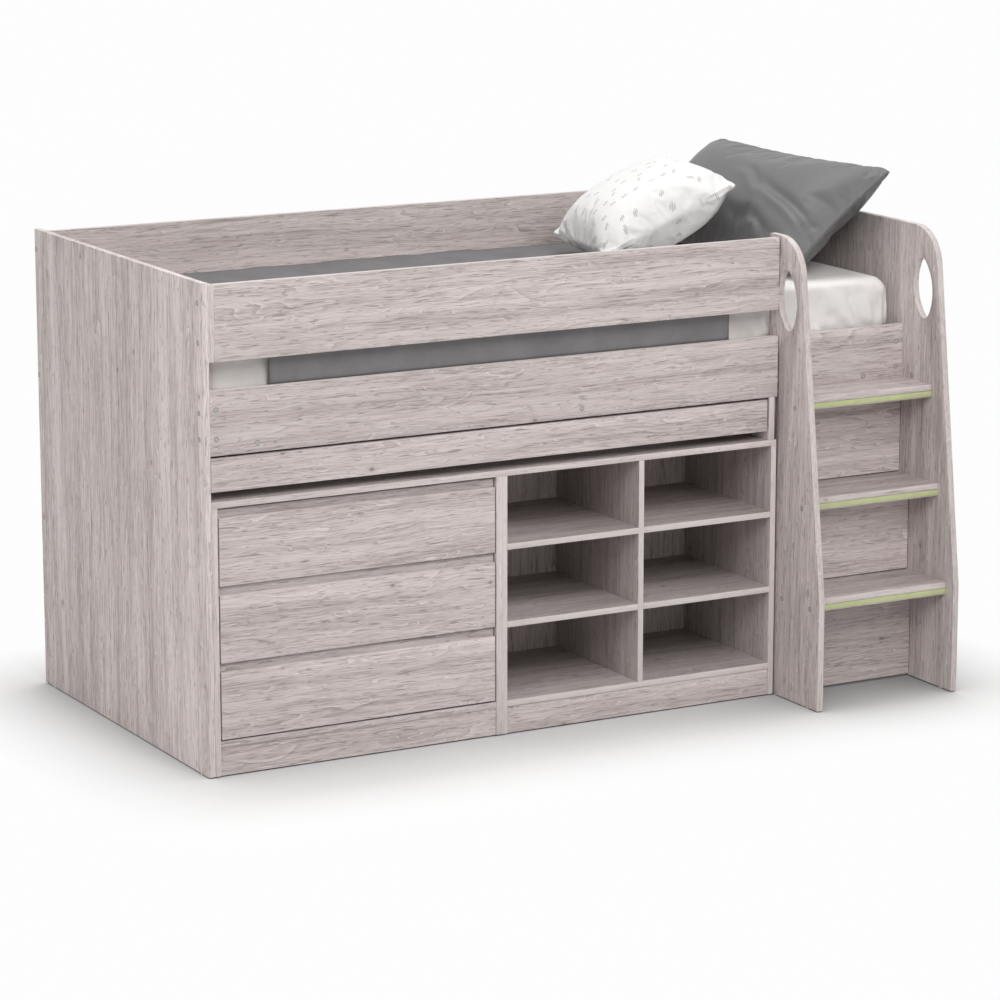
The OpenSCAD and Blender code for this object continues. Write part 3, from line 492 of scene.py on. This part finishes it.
def rounded_copy(node_name, finish, radius):
    """Stands for a sharp-edged solid, with its edges rounded."""
    shape = merged_copy(node_name)
    for face in shape.faces:
        face.smooth = True
    mesh = bpy.data.meshes.new(node_name + "_rounded")
    shape.to_mesh(mesh)
    shape.free()
    mesh.materials.append(finish)
    piece = own_piece(node_name + "_rounded", mesh, nodes[node_name]["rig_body"], [node_name])
    bevel = piece.modifiers.new("Rounded edges", "BEVEL")
    bevel.width = radius
    bevel.segments = 2
    bevel.limit_method = "ANGLE"
    bevel.angle_limit = math.radians(30)
    bevel.harden_normals = True


# %% Every board gets its oak
EDGE_RADIUS = 0.0009
RECESS_DEPTH = 0.009
SOFTER_EDGES = {"upper_tread": 0.0022, "middle_tread": 0.0022, "lower_tread": 0.0022,
    "upper_riser": 0.0015, "middle_riser": 0.0015, "lower_riser": 0.0015, "main_rail": 0.0014}
for number, (name, (along, thin)) in enumerate(BOARDS.items()):
    shift = (0.83 * number, 0.37 * number, 0.61 * number)
    tone, contrast, band = TONES_AND_PAINTED_LIGHT.get(name, PLAIN)
    has_recess = name.startswith("drawer") and name.endswith("front")
    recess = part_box(name)[0][1] + RECESS_DEPTH if has_recess else None
    finish = oak_board(name, along, thin, shift, tone, contrast, band, MARKED.get(name, 0.0), recess)
    rounded_copy(name, finish, SOFTER_EDGES.get(name, EDGE_RADIUS))
print("boards with their own oak:", len(BOARDS))

# %% [markdown]
# ## Slats, runners and small fittings
# Under the mattress lie planed softwood slats. The runners are zinc-plated sheet steel, the glides are
# pale plastic, and the strips under the treads are a pale green plastic that glows in the dark.

# %% Fittings' finishes
GLOSS_CHANGE = 0.05


def plain_finish(name, colour, roughness, metallic=0.0, speckle=0.06, grain_size=400.0):
    """A moulded, plated or planed surface with a faint variation of colour and gloss."""
    made = bpy.data.materials.new(name)
    tree = new_tree(made)
    coords = put(tree, "TexCoord")
    cloudy = put(tree, "TexNoise", {"Vector": coords.outputs["Object"], "Scale": grain_size,
        "Detail": 3.0}).outputs["Fac"]
    shade = span(tree, cloudy, 0.3, 0.7, 1 - speckle, 1 + speckle)
    gloss = span(tree, cloudy, 0.3, 0.7, roughness - GLOSS_CHANGE, roughness + GLOSS_CHANGE)
    surface = put(tree, "BsdfPrincipled", {"Base Color": scaled(tree, colour, shade),
        "Metallic": metallic, "Roughness": gloss})
    tree.links.new(surface.outputs[0], put(tree, "OutputMaterial").inputs["Surface"])
    return made


steel = plain_finish("Zinc plated steel", (0.55, 0.56, 0.58), 0.35, metallic=1.0, speckle=0.08)
glow = plain_finish("Green glow strip", (0.471, 0.508, 0.262), 0.45, grain_size=40.0)
glide = plain_finish("Pale glide", (0.62, 0.61, 0.59), 0.5)
cap_rim = plain_finish("Screw cap rim", (0.30, 0.30, 0.275), 0.5)
cap_middle = plain_finish("Screw cap middle", (0.47, 0.43, 0.40), 0.55)
# The dowels are darker than plain dowel wood: painted shade, as they sit in the gap at the guard's end
shaded_dowel_wood = plain_finish("Dowel wood", (0.46, 0.41, 0.375), 0.7, speckle=0.12, grain_size=60.0)
softwood = plain_finish("Planed softwood", (0.62, 0.47, 0.31), 0.6, speckle=0.12, grain_size=30.0)

# %% Fittings in their finish
STRIP_RADIUS = 0.0007
FITTINGS = {"floor_glides": glide, "slats": softwood, "joint_dowels": shaded_dowel_wood}
FITTINGS.update({name: steel for name in nodes if "runners" in name})
for name, finish in FITTINGS.items():
    mesh = nodes[name].data
    mesh.materials.clear()
    mesh.materials.append(finish)
rounded_copy("glow_strips", glow, STRIP_RADIUS)
print("fittings that keep their solid:", sorted(FITTINGS))

# %% [markdown]
# ## Screw caps
# Each cap is a thin moulded disc with a raised rim round a flat middle, glued over a screw head. The
# solid is the plain disc. Its round faces are inset by the rim's width and pressed in a little.

# %% Caps with a rim
CAP_RIM = 0.0034
CAP_STEP = 0.0004
caps_shape = merged_copy("screw_caps")
discs = [face for face in caps_shape.faces if len(face.verts) > 8]  # all other faces have four corners
bmesh.ops.inset_individual(caps_shape, faces=discs, thickness=CAP_RIM, depth=0.0)
bmesh.ops.inset_individual(caps_shape, faces=discs, thickness=CAP_STEP, depth=-CAP_STEP)
for face in discs:
    face.material_index = 1
caps_mesh = bpy.data.meshes.new("screw_caps_rimmed")
caps_shape.to_mesh(caps_mesh)
caps_shape.free()
caps_mesh.materials.append(cap_rim)
caps_mesh.materials.append(cap_middle)
own_piece("screw_caps_rimmed", caps_mesh, nodes["screw_caps"]["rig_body"], ["screw_caps"])
print("round faces on the caps:", len(discs))

# %% [markdown]
# ## Cloth
# The mattress cover and the throw are plain woven cotton, the large pillow is a finer sateen, and the
# cushion is white cotton with a tiny print. One node group weaves them all: two sets of threads cross,
# a slow cloud varies the dye, and slubs thicken a thread here and there. It reads Object coordinates,
# so it needs no UV map and survives the remeshing that the pillows go through.

# %% The weave
weave, give, take = new_group("Woven cloth",
    [("Place", "Vector", (0, 0, 0)), ("Threads", "Float", 2600.0), ("Cloud", "Float", 0.05)],
    [("Shade", "Float"), ("Height", "Float")])
sides = put(weave, "SeparateXYZ", {0: give.outputs["Place"]})
first = calc(weave, "ADD", sides.outputs[0], calc(weave, "MULTIPLY", sides.outputs[2], 0.6))
second = calc(weave, "ADD", sides.outputs[1], calc(weave, "MULTIPLY", sides.outputs[2], 0.8))
warp = calc(weave, "SINE", calc(weave, "MULTIPLY", first, give.outputs["Threads"]))
weft = calc(weave, "SINE", calc(weave, "MULTIPLY", second, give.outputs["Threads"]))
crossing = calc(weave, "MULTIPLY", calc(weave, "MULTIPLY", warp, weft), 0.5)
slubs = stretched_noise(weave, give.outputs["Place"], (140.0, 900.0, 600.0), detail=1.0)
dye = stretched_noise(weave, give.outputs["Place"], (11.0, 11.0, 11.0), detail=4.0, roughness=0.6)
low = calc(weave, "SUBTRACT", 1.0, give.outputs["Cloud"])
high = calc(weave, "ADD", 1.0, give.outputs["Cloud"])
shade = span(weave, dye, 0.3, 0.7, low, high)
shade = calc(weave, "ADD", shade, calc(weave, "MULTIPLY", crossing, 0.03))
weave.links.new(shade, take.inputs["Shade"])
weave.links.new(calc(weave, "ADD", crossing, span(weave, slubs, 0.55, 0.75, 0.0, 0.6)),
    take.inputs["Height"])
print("nodes in the weave:", len(weave.nodes))

# %% Cloth finishes
def cloth_finish(name, colour, roughness, sheen, threads=2600.0, cloud=0.05, relief=0.25):
    """A woven cloth: its material, tree, coordinates, shader and toned colour."""
    made = bpy.data.materials.new(name)
    tree = new_tree(made)
    coords = put(tree, "TexCoord")
    woven = put(tree, "Group", node_tree=weave)
    tree.links.new(coords.outputs["Object"], woven.inputs["Place"])
    woven.inputs["Threads"].default_value = threads
    woven.inputs["Cloud"].default_value = cloud
    toned = scaled(tree, colour, woven.outputs["Shade"])
    bumped = put(tree, "Bump", {"Strength": relief, "Distance": 0.0003,
        "Height": woven.outputs["Height"]})
    surface = put(tree, "BsdfPrincipled", {"Base Color": toned, "Roughness": roughness,
        "Normal": bumped.outputs[0], "Sheen Weight": sheen, "Sheen Roughness": 0.4})
    tree.links.new(surface.outputs[0], put(tree, "OutputMaterial").inputs["Surface"])
    return made, tree, coords, surface, toned


white_cotton = cloth_finish("Mattress cotton", (0.76, 0.735, 0.718), 0.8, 0.0, cloud=0.025)[0]
grey_sateen = cloth_finish("Pillow sateen", (0.108, 0.107, 0.108), 0.5, 0.05, threads=3600.0,
    relief=0.12)[0]
print("cloths so far:", white_cotton.name, "and", grey_sateen.name)

# %% [markdown]
# ## The print on the cushion
# The cushion carries a tiny scattered print. It is drawn flat in the cushion's own plane: a Voronoi
# texture deals out one spot to each cell, and round each spot three short strokes are drawn as thin
# ellipses, turned together by the cell's own random angle. A Mapping node lays the plane along the
# cushion.

# %% How the cushion lies
def leaned_turn(spin, lean, turn):
    """How a pillow is turned: spun in its own plane, leaned up towards +X, then turned round Z."""
    spun = Matrix.Rotation(math.radians(spin), 4, "Z")
    tilt = Matrix.Rotation(-math.radians(lean), 4, "Y")
    return Matrix.Rotation(math.radians(turn), 4, "Z") @ tilt @ spun


def middle_of(node_name):
    low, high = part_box(node_name)
    return (Vector(low) + Vector(high)) / 2


CUSHION_PLACE = Matrix.Translation(middle_of("white_pillow")) @ leaned_turn(-1.5, 25.0, -6.5)
print("cushion's middle:", [round(value, 3) for value in CUSHION_PLACE.translation])

# %% Printed cotton
PRINT_PITCH = 0.040
MOST_TURN = 1.4
EMPTY_SHARE = 0.18
INK_SHARE = 0.7
STROKE_WIDTH = 0.0016
# Across and along from the spot's middle, and the length
STROKES = ((0.0, 0.0, 0.0080), (0.0042, 0.0030, 0.0050), (-0.0040, -0.0034, 0.0050))
BROWN_INK = (0.36, 0.31, 0.26, 1)
GREY_INK = (0.30, 0.31, 0.33, 1)
printed, tree, coords, surface, toned = cloth_finish("Printed cotton", (0.715, 0.713, 0.712),
    0.75, 0.0, cloud=0.02)
back_to_flat = CUSHION_PLACE.inverted()
laid = put(tree, "Mapping", {"Vector": coords.outputs["Object"], "Location": back_to_flat.translation,
    "Rotation": back_to_flat.to_euler()}).outputs[0]
dealt = put(tree, "TexVoronoi", {"Vector": laid, "Scale": 1 / PRINT_PITCH, "Randomness": 0.75},
    voronoi_dimensions="2D", feature="F1")
offset = vector_calc(tree, "SUBTRACT", laid, dealt.outputs["Position"])
offset = vector_calc(tree, "MULTIPLY", offset, (1, 1, 0))
chance = put(tree, "SeparateColor", {0: dealt.outputs["Color"]})
angle = calc(tree, "MULTIPLY", chance.outputs[0], MOST_TURN)
turned = put(tree, "VectorRotate", {"Vector": offset, "Angle": angle}, rotation_type="Z_AXIS")
drawn = 0.0
for across, along, length in STROKES:
    moved = vector_calc(tree, "SUBTRACT", turned.outputs[0], (across, along, 0))
    squeezed = vector_calc(tree, "MULTIPLY", moved, (1 / STROKE_WIDTH, 1 / length, 0))
    reach = put(tree, "VectorMath", {0: squeezed}, operation="LENGTH")
    drawn = calc(tree, "MAXIMUM", drawn, span(tree, reach.outputs["Value"], 1.15, 0.75))
kept = calc(tree, "GREATER_THAN", chance.outputs[1], EMPTY_SHARE)
ink = blend_colours(tree, chance.outputs[2], BROWN_INK, GREY_INK)
share = calc(tree, "MULTIPLY", calc(tree, "MULTIPLY", drawn, kept), INK_SHARE)
tree.links.new(blend_colours(tree, share, toned, ink), surface.inputs["Base Color"])
print("nodes in the printed cotton:", len(tree.nodes))

# %% [markdown]
# ## Filled pillows
# A pillow is two cloths sewn round the rim and filled. Its start is the crowned shape of its solid, a
# little thinner, remeshed to even small cells. Then a cloth simulation does the real work: the cloth is
# given a few per cent more length than the shape has, and air pressure inside, with the rim held and no
# gravity. The spare length has to go somewhere, so it buckles into the short folds that run in from a
# real pillow's seam. How far a point may move is held under a soft limit, so that the pillow stays
# where its solid is and keeps its folds.

# %% Crowned pad
RIM_DRAWN_IN = 0.05
RIM_HALF_THICK = 0.004


def applied(holder):
    """The mesh that an object's modifiers make of it. The object itself is removed."""
    view = bpy.context.evaluated_depsgraph_get()
    mesh = bpy.data.meshes.new_from_object(holder.evaluated_get(view))
    bpy.data.objects.remove(holder)
    return mesh


def even_cells(shape, name, cell):
    """A closed bmesh, which this frees, as a mesh of small cells of one size."""
    rough = bpy.data.meshes.new(name + "_start")
    shape.to_mesh(rough)
    shape.free()
    holder = bpy.data.objects.new(name + "_start", rough)
    bpy.context.scene.collection.objects.link(holder)
    remesh = holder.modifiers.new("Even cells", "REMESH")
    remesh.mode = "VOXEL"
    remesh.voxel_size = cell
    even = applied(holder)
    print(name, "starts with", len(even.vertices), "points")
    return even


def pad_mesh(name, half, cell, crowning):
    """A closed pad round the origin, with drawn-in sides and crowned faces, in even small cells."""
    pad = bmesh.new()
    bmesh.ops.create_cube(pad, size=2.0)
    bmesh.ops.subdivide_edges(pad, edges=pad.edges[:], cuts=11, use_grid_fill=True)
    for point in pad.verts:
        u, v = math.sin(math.pi / 2 * point.co.x), math.sin(math.pi / 2 * point.co.y)
        crown = max(0.0, (1 - u ** 4) * (1 - v ** 4)) ** crowning
        point.co = (half[0] * u * (1 - RIM_DRAWN_IN * (1 - v * v)),
            half[1] * v * (1 - RIM_DRAWN_IN * (1 - u * u)),
            point.co.z * (RIM_HALF_THICK + half[2] * crown))
    return even_cells(pad, name, cell)


# %% Filling by simulation
FILLING_STEPS = 20
RIM_HEIGHT = 0.006
RIM_SHARE = 0.93


def filled(mesh, half, spare, pressure, cap):
    """Fills spare cloth by inside pressure. Returns the points' places, none further moved than cap."""
    start = [point.co.copy() for point in mesh.vertices]
    holder = bpy.data.objects.new("filling", mesh)
    bpy.context.scene.collection.objects.link(holder)
    rim = holder.vertex_groups.new(name="rim")
    on_rim = [number for number, place in enumerate(start)
        if abs(place.z) < RIM_HEIGHT
        and max(abs(place.x) / half[0], abs(place.y) / half[1]) > RIM_SHARE]
    rim.add(on_rim, 1.0, "REPLACE")
    cloth = holder.modifiers.new("Filling", "CLOTH")
    cloth.settings.quality = 6
    cloth.settings.mass = 0.2
    cloth.settings.tension_stiffness = cloth.settings.compression_stiffness = 12
    cloth.settings.shear_stiffness = 4
    cloth.settings.bending_stiffness = 0.4
    cloth.settings.shrink_min = -spare
    cloth.settings.use_pressure = True
    cloth.settings.uniform_pressure_force = pressure
    cloth.settings.vertex_group_mass = "rim"
    cloth.settings.effector_weights.gravity = 0.0
    cloth.collision_settings.use_collision = False
    cloth.point_cache.frame_end = FILLING_STEPS
    for frame_number in range(1, FILLING_STEPS + 1):
        bpy.context.scene.frame_set(frame_number)
    result = applied(holder)
    bpy.context.scene.frame_set(1)
    places = []
    for point, first_place in zip(result.vertices, start):
        move = point.co - first_place
        distance = max(move.length, 1e-9)
        places.append(first_place + move * (cap * math.tanh(distance / cap) / distance))
    print("filled with", FILLING_STEPS, "steps, furthest move in mm:",
        round(1000 * max((b - a).length for a, b in zip(start, places)), 1))
    return places


def smooth_step(low, high, value):
    """0 at low, 1 at high, and a soft curve between them."""
    share = min(1.0, max(0.0, (value - low) / (high - low)))
    return share * share * (3 - 2 * share)


def set_places(mesh, places):
    """Moves a mesh's points and shades it smooth."""
    mesh.vertices.foreach_set("co", [value for place in places for value in place])
    mesh.polygons.foreach_set("use_smooth", [True] * len(mesh.polygons))
    mesh.update()


def finer(piece):
    """Splits each cell of the cloth in four."""
    smooth = piece.modifiers.new("Finer cloth", "SUBSURF")
    smooth.levels = smooth.render_levels = 1


# %% [markdown]
# ## The small cushion
# It lies half on the throw and half on the bare mattress, and leans up towards the large pillow. What
# swells below the cloth that it lies on is pressed flat there, as a real cushion is.

# %% What the cushion lies on
CLEARANCE = 0.0006
THROW_RISE = 0.0056
BED_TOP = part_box("mattress")[1][2]
THROW_TOP = BED_TOP + THROW_RISE
THROW_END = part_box("throw")[1][0]
THROW_SHEAR = 0.13
ASKEW_FROM = -0.32
SLOPE_LENGTH = 0.010
SLOPE_FOOT = 0.012


def throw_end(y):
    """Where the throw ends: it was laid a little askew, further right towards the wall."""
    return THROW_END + THROW_SHEAR * max(0.0, y - ASKEW_FROM)


def resting_level(place):
    """Height of the cloth under a point, with a short slope at the throw's edge."""
    share = min(1.0, max(0.0, (throw_end(place.y) + SLOPE_FOOT - place.x) / SLOPE_LENGTH))
    return BED_TOP + CLEARANCE + share * (THROW_TOP - BED_TOP)


print("level of the bare mattress and of the throw:", round(BED_TOP, 4), round(THROW_TOP, 4))

# %% Small cushion
CUSHION_HALF = (0.195, 0.190, 0.080)
cushion_mesh = pad_mesh("white_cushion", CUSHION_HALF, cell=0.0065, crowning=0.85)
puffed = filled(cushion_mesh, CUSHION_HALF, spare=0.05, pressure=2.2, cap=0.022)
cushion_places = []
for place in puffed:
    world = CUSHION_PLACE @ place
    world.z = max(world.z, resting_level(world))
    cushion_places.append(world)
set_places(cushion_mesh, cushion_places)
cushion_mesh.name = "white_cushion"
cushion_mesh.materials.clear()
cushion_mesh.materials.append(printed)
white_cushion = own_piece("white_cushion", cushion_mesh, "frame",
    ["white_pillow"])
finer(white_cushion)
print("cushion points:", len(cushion_mesh.vertices))

# %% [markdown]
# ## The large pillow
# It stands on the mattress and leans over the right end panel, and both press it flat where they touch
# it. A BVH tree of the finished cushion measures how close the two come. Sateen is smooth and tight, so
# it gets less spare cloth than the cushion, and a few long creases are drawn into its face afterwards.

# %% Large pillow's filling
PILLOW_HALF = (0.414, 0.186, 0.066)
OVER_EDGE = 1.4  # how far the pillow bulges over the panel for each metre above its edge
EDGE_ROUND = 0.002
PANEL_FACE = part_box("right_end_panel")[0][0]
PANEL_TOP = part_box("right_end_panel")[1][2]
PILLOW_PLACE = Matrix.Translation(middle_of("grey_pillow")) @ leaned_turn(90.9, 39.0, -1.6)
pillow_mesh = pad_mesh("grey_pillow_case", PILLOW_HALF, cell=0.0075, crowning=0.62)
puffed = filled(pillow_mesh, PILLOW_HALF, spare=0.022, pressure=1.8, cap=0.020)


def kept_clear(place):
    """A point of the large pillow, pressed flat where it meets the mattress or the panel."""
    place.z = max(place.z, BED_TOP + CLEARANCE)
    above = max(0.0, place.z - PANEL_TOP - EDGE_ROUND)
    place.x = min(place.x, PANEL_FACE - CLEARANCE + above * OVER_EDGE)
    return place


# %% Large pillow's creases
# They start at the near lower corner: start and end (in from the near edge, up from the lower edge),
# width and depth
CREASES = (((0.010, 0.106), (0.330, 0.216), 0.012, 0.0100),
    ((0.270, 0.176), (0.450, 0.236), 0.011, 0.0070),
    ((0.080, 0.056), (0.290, 0.104), 0.012, 0.0065),
    ((0.200, 0.080), (0.420, 0.116), 0.016, 0.0045))


def pulled(place):
    """Draws long creases out of the corner that carries the pillow's weight."""
    if place.z <= 0.0:
        return place
    spot = Vector((place.x + PILLOW_HALF[0], PILLOW_HALF[1] - place.y))
    sink = 0.0
    for first, last, width, depth in CREASES:
        line = Vector(last) - Vector(first)
        along = (spot - Vector(first)).dot(line) / line.length_squared
        bow = 0.008 * math.sin(5.0 * along + 40 * first[0])
        across = ((spot - Vector(first)).cross(line.normalized()) + bow) / width
        shape = math.exp(-across * across) - 0.55 * math.exp(-(across - 2.0) ** 2)
        sink += depth * shape * smooth_step(-0.05, 0.25, along) * smooth_step(1.1, 0.6, along)
    return place - Vector((0, 0, sink))


pillow_places = [kept_clear(PILLOW_PLACE @ pulled(place)) for place in puffed]
print("points in the creased pillow:", len(pillow_places))

# %% Large pillow in its place
from mathutils.bvhtree import BVHTree

cushion_tree = BVHTree.FromPolygons(cushion_places, [face.vertices for face in cushion_mesh.polygons])
gap = min(cushion_tree.find_nearest(place)[3] for place in pillow_places)
print("least gap to the cushion in mm:", round(1000 * gap, 1))
set_places(pillow_mesh, pillow_places)
pillow_mesh.name = "grey_pillow_case"
pillow_mesh.materials.clear()
pillow_mesh.materials.append(grey_sateen)
grey_pillow = own_piece("grey_pillow_case", pillow_mesh, "frame",
    ["grey_pillow"])
finer(grey_pillow)
print("pillow points:", len(pillow_mesh.vertices))

# %% [markdown]
# ## The mattress
# The mattress is a foam block in a fitted sheet. Foam keeps its shape, so a simulation would only blow
# it up. Its points are moved in code instead: the upright corners and top edges are rounded, more
# towards the bed's ends, the sheet's sides take soft folds that slant down from the corner, and the top
# dips a little here and there. All of it goes inwards, because the boards stand a few millimetres off.

# %% Fitted sheet
EDGE_ROUNDING = 0.026
END_ROUNDING = 0.024  # added towards the bed's ends, over this length:
END_LENGTH = 0.13
SIDE_ZONE = 0.03
HANG_HEIGHT = 0.05
FOLD_DEPTH = 0.0095
CREASE_DEPTH = 0.0060
DIP_DEPTH = 0.0018
BED_LOW, BED_HIGH = (Vector(corner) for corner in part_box("mattress"))
BED_MIDDLE = (BED_LOW + BED_HIGH) / 2
BED_HALF = (BED_HIGH - BED_LOW) / 2


def sheet_point(place):
    """Where a point of the foam block ends up under its fitted sheet."""
    from_middle = place - BED_MIDDLE
    end = smooth_step(END_LENGTH, 0.0, BED_HALF.x - abs(from_middle.x))
    radius = EDGE_ROUNDING + END_ROUNDING * end
    over = Vector((max(0.0, abs(from_middle.x) - BED_HALF.x + radius),
        max(0.0, abs(from_middle.y) - BED_HALF.y + radius),
        max(0.0, from_middle.z - BED_HALF.z + radius)))
    if over.length > radius:
        back = over * (1 - radius / over.length)
        place = place - Vector((math.copysign(back.x, from_middle.x),
            math.copysign(back.y, from_middle.y), back.z))
    hang = smooth_step(BED_HIGH.z, BED_HIGH.z - HANG_HEIGHT, place.z)
    slant = Vector((place.x + 0.45 * place.z, place.y * 0.8, 0.35 * place.z))
    fold = noise.noise(slant * 19.0) + 0.6 * noise.noise(slant * 40.0 + Vector((7, 3, 1)))
    crease = smooth_step(0.20, 0.0, abs(fold - 0.05))
    pulled_here = 0.3 + 0.7 * smooth_step(0.48, 0.60, place.x)
    depth = hang * pulled_here * (FOLD_DEPTH * smooth_step(-0.38, 0.50, fold) + CREASE_DEPTH * crease)
    dip = DIP_DEPTH * (1 - hang) * smooth_step(-0.3, 0.6, noise.noise(place * 6.0))
    at_end = abs(from_middle.x) > BED_HALF.x - SIDE_ZONE
    at_side = abs(from_middle.y) > BED_HALF.y - SIDE_ZONE
    inwards = Vector((-from_middle.x / BED_HALF.x ** 2 if at_end else 0.0,
        -from_middle.y / BED_HALF.y ** 2 if at_side else 0.0, 0.0))
    if inwards.length > 0:
        place = place + inwards.normalized() * depth
    return place - Vector((0, 0, dip))


sheet_mesh = even_cells(merged_copy("mattress"), "mattress", cell=0.009)
set_places(sheet_mesh, [sheet_point(point.co.copy()) for point in sheet_mesh.vertices])
sheet_mesh.materials.clear()
sheet_mesh.materials.append(white_cotton)
mattress = own_piece("cotton_mattress", sheet_mesh, "frame", ["mattress"])
print("mattress points:", len(sheet_mesh.vertices))

# %% [markdown]
# ## The throw
# A thin cotton throw lies over the mattress and hangs down its front. Its hems are sewn, which the
# material draws a little way in from each edge. The part that hangs down the front is painted lighter
# than the top: painted light, where the front lies in the shade of the guard and rail.

# %% Cloth of the throw
FRONT_PAINTED_LIGHT = 1.68
HEM = 0.018
STITCH = 0.005
THREAD_GREY = (0.26, 0.26, 0.26, 1)
THROW_LOW, THROW_HIGH = (Vector(corner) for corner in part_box("throw"))
throw_cotton, tree, coords, surface, toned = cloth_finish("Throw cotton", (0.135, 0.133, 0.134),
    0.85, 0.0, cloud=0.12)
upwards = put(tree, "SeparateXYZ", {0: coords.outputs["Normal"]}).outputs[2]
# Painted light: faces that hang down the front are made lighter than the top
painted_light_front = scaled(tree, toned, span(tree, upwards, 0.2, 0.9, FRONT_PAINTED_LIGHT, 1.0))
x, y, z = put(tree, "SeparateXYZ", {0: coords.outputs["Object"]}).outputs
askew = calc(tree, "MAXIMUM", calc(tree, "SUBTRACT", y, ASKEW_FROM), 0.0)
squared = calc(tree, "SUBTRACT", x, calc(tree, "MULTIPLY", askew, THROW_SHEAR))
to_left, to_right, to_front = (calc(tree, "ABSOLUTE", calc(tree, "SUBTRACT", value, hem))
    for value, hem in ((x, THROW_LOW.x + HEM), (squared, THROW_HIGH.x - HEM), (z, THROW_LOW.z + HEM)))
nearest = calc(tree, "MINIMUM", calc(tree, "MINIMUM", to_left, to_right), to_front)
run = calc(tree, "ADD", calc(tree, "ADD", x, y), z)
stitches = span(tree, calc(tree, "SINE", calc(tree, "MULTIPLY", run, 2 * math.pi / STITCH)), -0.2, 0.2)
sewn = calc(tree, "MULTIPLY", span(tree, nearest, 0.0010, 0.0004), stitches)
hemmed = blend_colours(tree, calc(tree, "MULTIPLY", sewn, 0.5), painted_light_front, THREAD_GREY)
tree.links.new(hemmed, surface.inputs["Base Color"])
print("nodes in the throw's cotton:", len(tree.nodes))

# %% [markdown]
# A flat grid of points is laid along the path of the throw's solid: up the front, round the mattress's
# edge and back to the wall. A few long soft creases lift it, and fade out under the cushion, and a
# Solidify modifier gives it its thickness.

# %% The throw's path
THROW_THICK = 0.0046
BEND = 0.0285
FRONT = THROW_LOW.y + THROW_THICK / 2
TOP = THROW_HIGH.z - THROW_THICK / 2
DROP = TOP - BEND - THROW_LOW.z
ARC = BEND * math.pi / 2
FLAT_LENGTH = DROP + ARC + THROW_HIGH.y - FRONT - BEND
CREASE_LIFT = 0.0034


def down_the_throw(run):
    """The place (y, z) and the outward direction at a distance from the front hem along the cloth."""
    if run < DROP:
        return Vector((FRONT, THROW_LOW.z + run)), Vector((-1, 0))
    if run < DROP + ARC:
        angle = (run - DROP) / BEND
        out = Vector((-math.cos(angle), math.sin(angle)))
        return Vector((FRONT + BEND, TOP - BEND)) + BEND * out, out
    return Vector((FRONT + BEND + run - DROP - ARC, TOP)), Vector((0, 1))


def throw_point(u, v):
    """Where a point of the flat cloth ends up; u and v run from 0 to 1."""
    run = v * FLAT_LENGTH
    spot, out = down_the_throw(run)
    x = THROW_LOW.x + u * (THROW_HIGH.x - THROW_LOW.x)
    x += smooth_step(-0.2, THROW_HIGH.x, x) * (throw_end(spot.x) - THROW_END)
    wave = noise.noise(Vector((x * 9.0 + 0.6 * run, run * 1.1, 0.4)))
    small = noise.noise(Vector((x * 26.0, run * 3.0, 4.0)))
    lift = CREASE_LIFT * smooth_step(-0.1, 0.7, wave + 0.35 * small) * smooth_step(0.30, 0.20, x)
    lift *= 0.12 + 0.88 * smooth_step(0.10, 0.20, run)
    return Vector((x, spot.x + out.x * lift, spot.y + out.y * lift))


print("cloth from hem to hem in metres:", round(FLAT_LENGTH, 3))

# %% Throw
cloth_grid = bmesh.new()
bmesh.ops.create_grid(cloth_grid, x_segments=140, y_segments=110, size=1)
for point in cloth_grid.verts:
    point.co = throw_point((point.co.x + 1) / 2, (point.co.y + 1) / 2)
throw_mesh = bpy.data.meshes.new("grey_throw")
cloth_grid.to_mesh(throw_mesh)
cloth_grid.free()
throw_mesh.polygons.foreach_set("use_smooth", [True] * len(throw_mesh.polygons))
throw_mesh.materials.append(throw_cotton)
throw = own_piece("grey_throw", throw_mesh, "frame", ["throw"])
thick = throw.modifiers.new("Thickness", "SOLIDIFY")
thick.thickness = THROW_THICK
thick.offset = 0.0
print("throw points:", len(throw_mesh.vertices))
